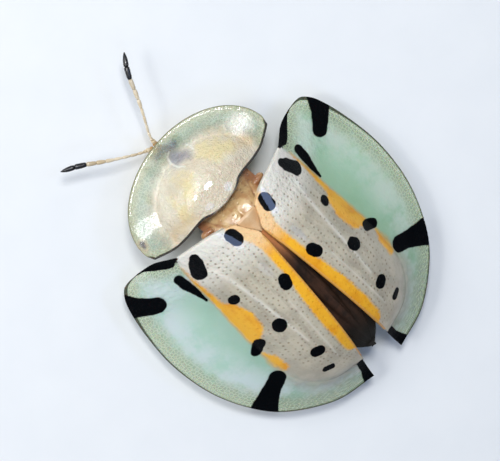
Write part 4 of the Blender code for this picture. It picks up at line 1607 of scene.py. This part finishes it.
@dataclass(frozen=True)
class Feeler:
    """One feeler: eleven slender, straw-coloured segments, thicker from the seventh, black at the end."""

    side: Side
    finish: CuticleFinish = CuticleFinish(
        tone(226, 212, 184), tone(204, 182, 144), roughness=0.3, pore_scale=14.0, tip_tone=tone(14, 14, 18)
    )
    shares: tuple[float, ...] = (10, 5, 9, 8.5, 8.5, 8, 8.5, 8.5, 8.5, 11, 14.5)
    radii: tuple[float, ...] = (0.12, 0.09, 0.072, 0.07, 0.072, 0.076, 0.095, 0.108, 0.118, 0.135, 0.13)
    rods_from: int = 9
    lap: float = 1.02
    bead: Profile = ((0.0, 0.5), (0.05, 0.72), (0.3, 0.88), (0.75, 1.0), (0.93, 0.92), (1.0, 0.5))
    rod: Profile = ((0.0, 0.6), (0.04, 0.84), (0.3, 0.96), (0.7, 1.0), (0.95, 0.96), (1.0, 0.7))
    tip: Profile = ((0.0, 0.7), (0.04, 0.94), (0.3, 1.0), (0.6, 0.84), (0.88, 0.4), (1.0, 0.08))
    stain: tuple[float, ...] = (0.05, 0.05, 0.0, 0.0, 0.0, 0.0, 0.04, 0.1, 0.24, 1.0, 1.0)
    routes: Sequence[Chain] = (
        (
            (0.50, -5.58, 1.40),
            (0.96, -5.82, 1.58),
            (1.70, -6.36, 1.98),
            (2.50, -6.96, 2.18),
            (3.34, -7.61, 2.20),
            (4.15, -8.06, 2.08),
        ),
        (
            (0.18, -5.60, 1.40),
            (0.12, -6.08, 1.60),
            (-0.28, -6.92, 2.00),
            (-0.72, -7.84, 2.18),
            (-1.20, -8.90, 2.20),
            (-1.78, -9.66, 2.08),
        ),
    )

    def build(self) -> None:
        """Models and dresses the feeler."""
        route = self.routes[0 if self.side is Side.LEFT else 1]
        whole = sum(self.shares)
        stops = np.cumsum([0.0, *self.shares]) / whole
        segments = []
        for k, radius in enumerate(self.radii):
            start, end = along(route, stops[k]), along(route, stops[k + 1])
            last = k == len(self.radii) - 1
            sizes = self.rod if k >= self.rods_from else self.bead
            profile = [(share, radius * size) for share, size in (self.tip if last else sizes)]
            segment = spindle("segment", start, start.lerp(end, self.lap), profile, 14)
            tagged(segment, "tip", np.full(len(segment.data.vertices), self.stain[k]))
            segments.append(segment)
        feeler = joined(segments, f"feeler_{self.side.word}")
        smooth(feeler, 60.0)
        cuticle = self.finish.make(f"feeler_cuticle_{self.side.word}")
        finished(feeler, cuticle, Slot.ANTENNA, f"antenna_{self.side.word}")


class Pair(Enum):
    """The pairs of legs, each with the left leg's hip, knee, ankle and toe, and the right one's lead."""

    FORE = (((0.80, -3.10, 0.74), (2.15, -2.62, 1.66), (1.98, -3.00, 0.46), (2.12, -4.05, 0.0)), 0.10)
    MID = (((0.90, -0.45, 0.76), (2.98, 0.02, 1.72), (2.76, 1.00, 0.46), (2.98, 2.15, 0.0)), -0.15)
    HIND = (((0.90, 2.10, 0.76), (2.92, 3.15, 1.72), (2.66, 4.30, 0.46), (2.84, 5.50, 0.0)), 0.12)

    def joints(self, side: Side) -> list[Vector]:
        """The joints of one side's leg.

        Args:
            side: The side.

        Returns:
            The hip, knee, ankle and toe.
        """
        places, lead = self.value
        points = [Vector(place) for place in places]
        if side is Side.RIGHT:
            points = [points[0], *(point - Vector((0.0, lead, 0.0)) for point in points[1:])]
            points = [Vector((-point.x, point.y, point.z)) for point in points]
        return points


@dataclass(frozen=True)
class Leg:
    """One leg: coxa, trochanter, thigh, shin with its spurs, four-jointed padded foot and two claws."""

    pair: Pair
    side: Side
    material: Material
    thigh: Profile = (
        (0.0, 0.10), (0.06, 0.15), (0.35, 0.24), (0.6, 0.25), (0.85, 0.19), (0.96, 0.14), (1.0, 0.06),
    )
    shin: Profile = (
        (0.0, 0.06), (0.05, 0.12), (0.2, 0.115), (0.6, 0.14), (0.9, 0.19), (0.97, 0.17), (1.0, 0.08),
    )
    pad: Profile = ((0.0, 0.4), (0.08, 0.62), (0.4, 0.86), (0.75, 1.0), (0.93, 0.8), (1.0, 0.35))

    def part(
        self, start: Vector, end: Vector, profile: Profile, size: float = 1.0, flat: float = 1.0
    ) -> Piece:
        """A rounded part of the leg between two points.

        Args:
            start: Its near end.
            end: Its far end.
            profile: Shares of its length with radii.
            size: What the radii are multiplied by.
            flat: How thick it is up and down against across.

        Returns:
            The part.
        """
        sized = [(share, radius * size) for share, radius in profile]
        return spindle("leg_part", start, end, sized, 16, flat)

    def foot(self, ankle: Vector, toe: Vector) -> list[Piece]:
        """The pads, the claw joint and the claws.

        Args:
            ankle: The shin's end.
            toe: The claws' reach on the floor.

        Returns:
            The parts.
        """
        ahead = Vector((toe.x - ankle.x, toe.y - ankle.y, 0.0))
        length = ahead.length
        ahead.normalize()
        side = Vector((-ahead.y, ahead.x, 0.0))
        base = Vector((ankle.x, ankle.y, 0.0))

        def at(share: float, across: float, height: float) -> Vector:
            """A point along the foot."""
            return base + ahead * (length * share) + side * across + Vector((0.0, 0.0, height))

        parts = [
            self.part(at(-0.08, 0.0, 0.24), at(0.22, 0.0, 0.10), self.pad, 0.16, 0.7),
            self.part(at(0.18, 0.0, 0.16), at(0.44, 0.0, 0.09), self.pad, 0.2, 0.6),
            self.part(at(0.48, 0.0, 0.14), at(0.9, 0.0, 0.26), self.pad, 0.09),
        ]
        for s in (-1.0, 1.0):
            lobe = self.part(at(0.4, s * 0.06, 0.13), at(0.84, s * 0.17, 0.07), self.pad, 0.15, 0.6)
            claw = ((0.0, 0.055), (0.4, 0.045), (0.8, 0.025), (1.0, 0.008))
            parts += [
                lobe,
                self.part(at(0.86, s * 0.03, 0.26), at(0.97, s * 0.13, 0.18), claw),
                self.part(at(0.96, s * 0.12, 0.19), at(1.0, s * 0.2, 0.04), claw, 0.85),
            ]
        return parts

    def build(self) -> None:
        """Models and dresses the leg."""
        hip, knee, ankle, toe = self.pair.joints(self.side)
        inward = Vector((-0.32 * self.side.value, 0.0, 0.32))
        ring = ((0.0, 0.2), (0.2, 0.3), (0.55, 0.33), (0.85, 0.24), (1.0, 0.1))
        first = hip.lerp(knee, 0.1)
        parts = [
            self.part(hip + inward, hip - inward * 0.35, ring),
            self.part(hip.lerp(knee, -0.03), hip.lerp(knee, 0.16), self.pad, 0.2),
            self.part(first, knee, self.thigh),
            self.part(knee, ankle, self.shin),
            *self.foot(ankle, toe),
        ]
        for s in (-1.0, 1.0):
            spur = ((0.0, 0.035), (0.5, 0.025), (1.0, 0.006))
            start = knee.lerp(ankle, 0.93) + Vector((s * 0.08, 0.0, 0.0))
            parts.append(self.part(start, start + Vector((s * 0.05, 0.06, -0.2)), spur))
        leg = joined(parts, f"{self.pair.name.lower()}_leg_{self.side.word}")
        points = points_of(leg)
        points[:, 2] = np.maximum(points[:, 2], 0.0)
        put_points(leg, points)
        smooth(leg, 60.0)
        finished(leg, self.material, Slot.PALE, f"leg_{self.pair.name.lower()}_{self.side.word}")


@dataclass(frozen=True)
class Softbox:
    """An oval studio light: where it stands and its size, in millimetres, its power in watts, its aim."""

    name: str
    place: Point
    size: tuple[float, float]
    power: float
    colour: Tone = (1.0, 1.0, 1.0)
    target: Point = (0.0, 0.0, 3.0)

    def light(self) -> None:
        """Puts the light up."""
        data = bpy.data.lights.new(self.name, "AREA")
        data.shape = "ELLIPSE"
        data.size, data.size_y = (side * MM for side in self.size)
        data.energy = self.power
        data.color = self.colour
        lamp = bpy.data.objects.new(self.name, data)
        bpy.context.scene.collection.objects.link(lamp)
        place = Vector(self.place) * MM
        lamp.location = place
        lamp.rotation_euler = (Vector(self.target) * MM - place).to_track_quat("-Z", "Y").to_euler()


@dataclass(frozen=True)
class Studio:
    """The pale floor, the soft lights and the camera over the beetle's back."""

    floor: FloorFinish = FloorFinish()
    floor_size: float = 900.0
    lean_fore_deg: float = -14.20
    lean_side_deg: float = 5.26
    roll_deg: float = -133.76
    distance: float = 120.3
    aim: tuple[float, float] = (0.64, -0.51)
    field_px: float = 500.0
    focal_px: float = 2562.0
    sensor: float = 36.0
    sky: float = 0.6
    zenith: float = 0.12
    zenith_from: float = 0.4
    air: Tone = (0.93, 0.96, 1.0)
    boxes: tuple[Softbox, ...] = (
        Softbox("key_softbox", (-10.0, -54.0, 140.0), (30.0, 30.0), 0.12),
        Softbox("wide_softbox", (55.0, -98.0, 118.0), (120.0, 80.0), 0.10),
        Softbox("left_glint", (60.0, -66.0, 125.0), (26.0, 26.0), 0.034),
        Softbox("right_glint", (-76.0, -60.0, 117.0), (14.0, 14.0), 0.004),
        Softbox("left_window", (44.0, 16.0, 142.0), (36.0, 36.0), 0.018, (0.42, 0.58, 1.0)),
        Softbox("right_window", (-57.0, 15.0, 138.0), (36.0, 36.0), 0.022, (0.42, 0.58, 1.0)),
    )

    def camera(self) -> None:
        """Sets the camera up at the portrait's angle."""
        lean = Matrix.Rotation(math.radians(self.lean_fore_deg), 3, "X")
        tip = Matrix.Rotation(math.radians(-self.lean_side_deg), 3, "Y")
        view = Matrix.Rotation(math.radians(self.roll_deg), 3, "Z") @ lean @ tip
        data = bpy.data.cameras.new("portrait_camera")
        data.sensor_width = self.sensor
        data.lens = self.sensor * self.focal_px / self.field_px
        data.clip_start, data.clip_end = 0.005, 5.0
        camera = bpy.data.objects.new("portrait_camera", data)
        bpy.context.scene.collection.objects.link(camera)
        place = view.transposed() @ Vector((*self.aim, self.distance)) * MM
        camera.matrix_world = Matrix.Translation(place) @ view.transposed().to_4x4()
        bpy.context.scene.camera = camera

    def surroundings(self) -> None:
        """Lays the floor and sets the pale surroundings."""
        floor = primitive(bpy.ops.mesh.primitive_plane_add, "studio_floor", size=self.floor_size * MM)
        floor.data.materials.append(self.floor.make("floor_finish"))
        world = bpy.data.worlds.new("studio_air")
        world.use_nodes = True
        nodes, links = world.node_tree.nodes, world.node_tree.links
        air = nodes["Background"]
        air.inputs["Color"].default_value = (*self.air, 1.0)
        height = nodes.new("ShaderNodeSeparateXYZ")
        links.new(nodes.new("ShaderNodeTexCoord").outputs["Generated"], height.inputs[0])
        fall = nodes.new("ShaderNodeMapRange")
        links.new(height.outputs["Z"], fall.inputs["Value"])
        ends = {"From Min": 0.0, "From Max": self.zenith_from, "To Min": self.sky, "To Max": self.zenith}
        for key, value in ends.items():
            fall.inputs[key].default_value = value
        links.new(fall.outputs["Result"], air.inputs["Strength"])
        bpy.context.scene.world = world
        bpy.context.scene.view_settings.view_transform = "Standard"

    def build(self) -> None:
        """Sets the studio up."""
        self.surroundings()
        for box in self.boxes:
            box.light()
        self.camera()


def main() -> None:
    """Builds the beetle, sub-assembly by sub-assembly, and the studio round it."""
    logging.basicConfig(level=logging.INFO, format="%(message)s")
    Studio().build()
    # Painted light: the right case's clear margin is tinted greener, for the green light that shows through
    # it on that side
    green_lit_finish = ShellFinish(
        milk=tone(172, 213, 182),
        jade=tone(148, 192, 152),
        frost=tone(206, 225, 208),
        wall=tone(206, 222, 184),
    )
    for case in (WingCase(Side.LEFT), WingCase(Side.RIGHT, finish=green_lit_finish)):
        case.build()
        HindWing(case.side, case).build()
    for part in (Shield(), BackPlates(), Trunk(), Head(), SoftSkins()):
        part.build()
    for side in Side:
        Feeler(side).build()
    straw = CuticleFinish(tone(222, 184, 112), tone(190, 142, 76), roughness=0.28).make("leg_cuticle")
    for pair in Pair:
        for side in Side:
            Leg(pair, side, straw).build()


if __name__ == "__main__":
    main()
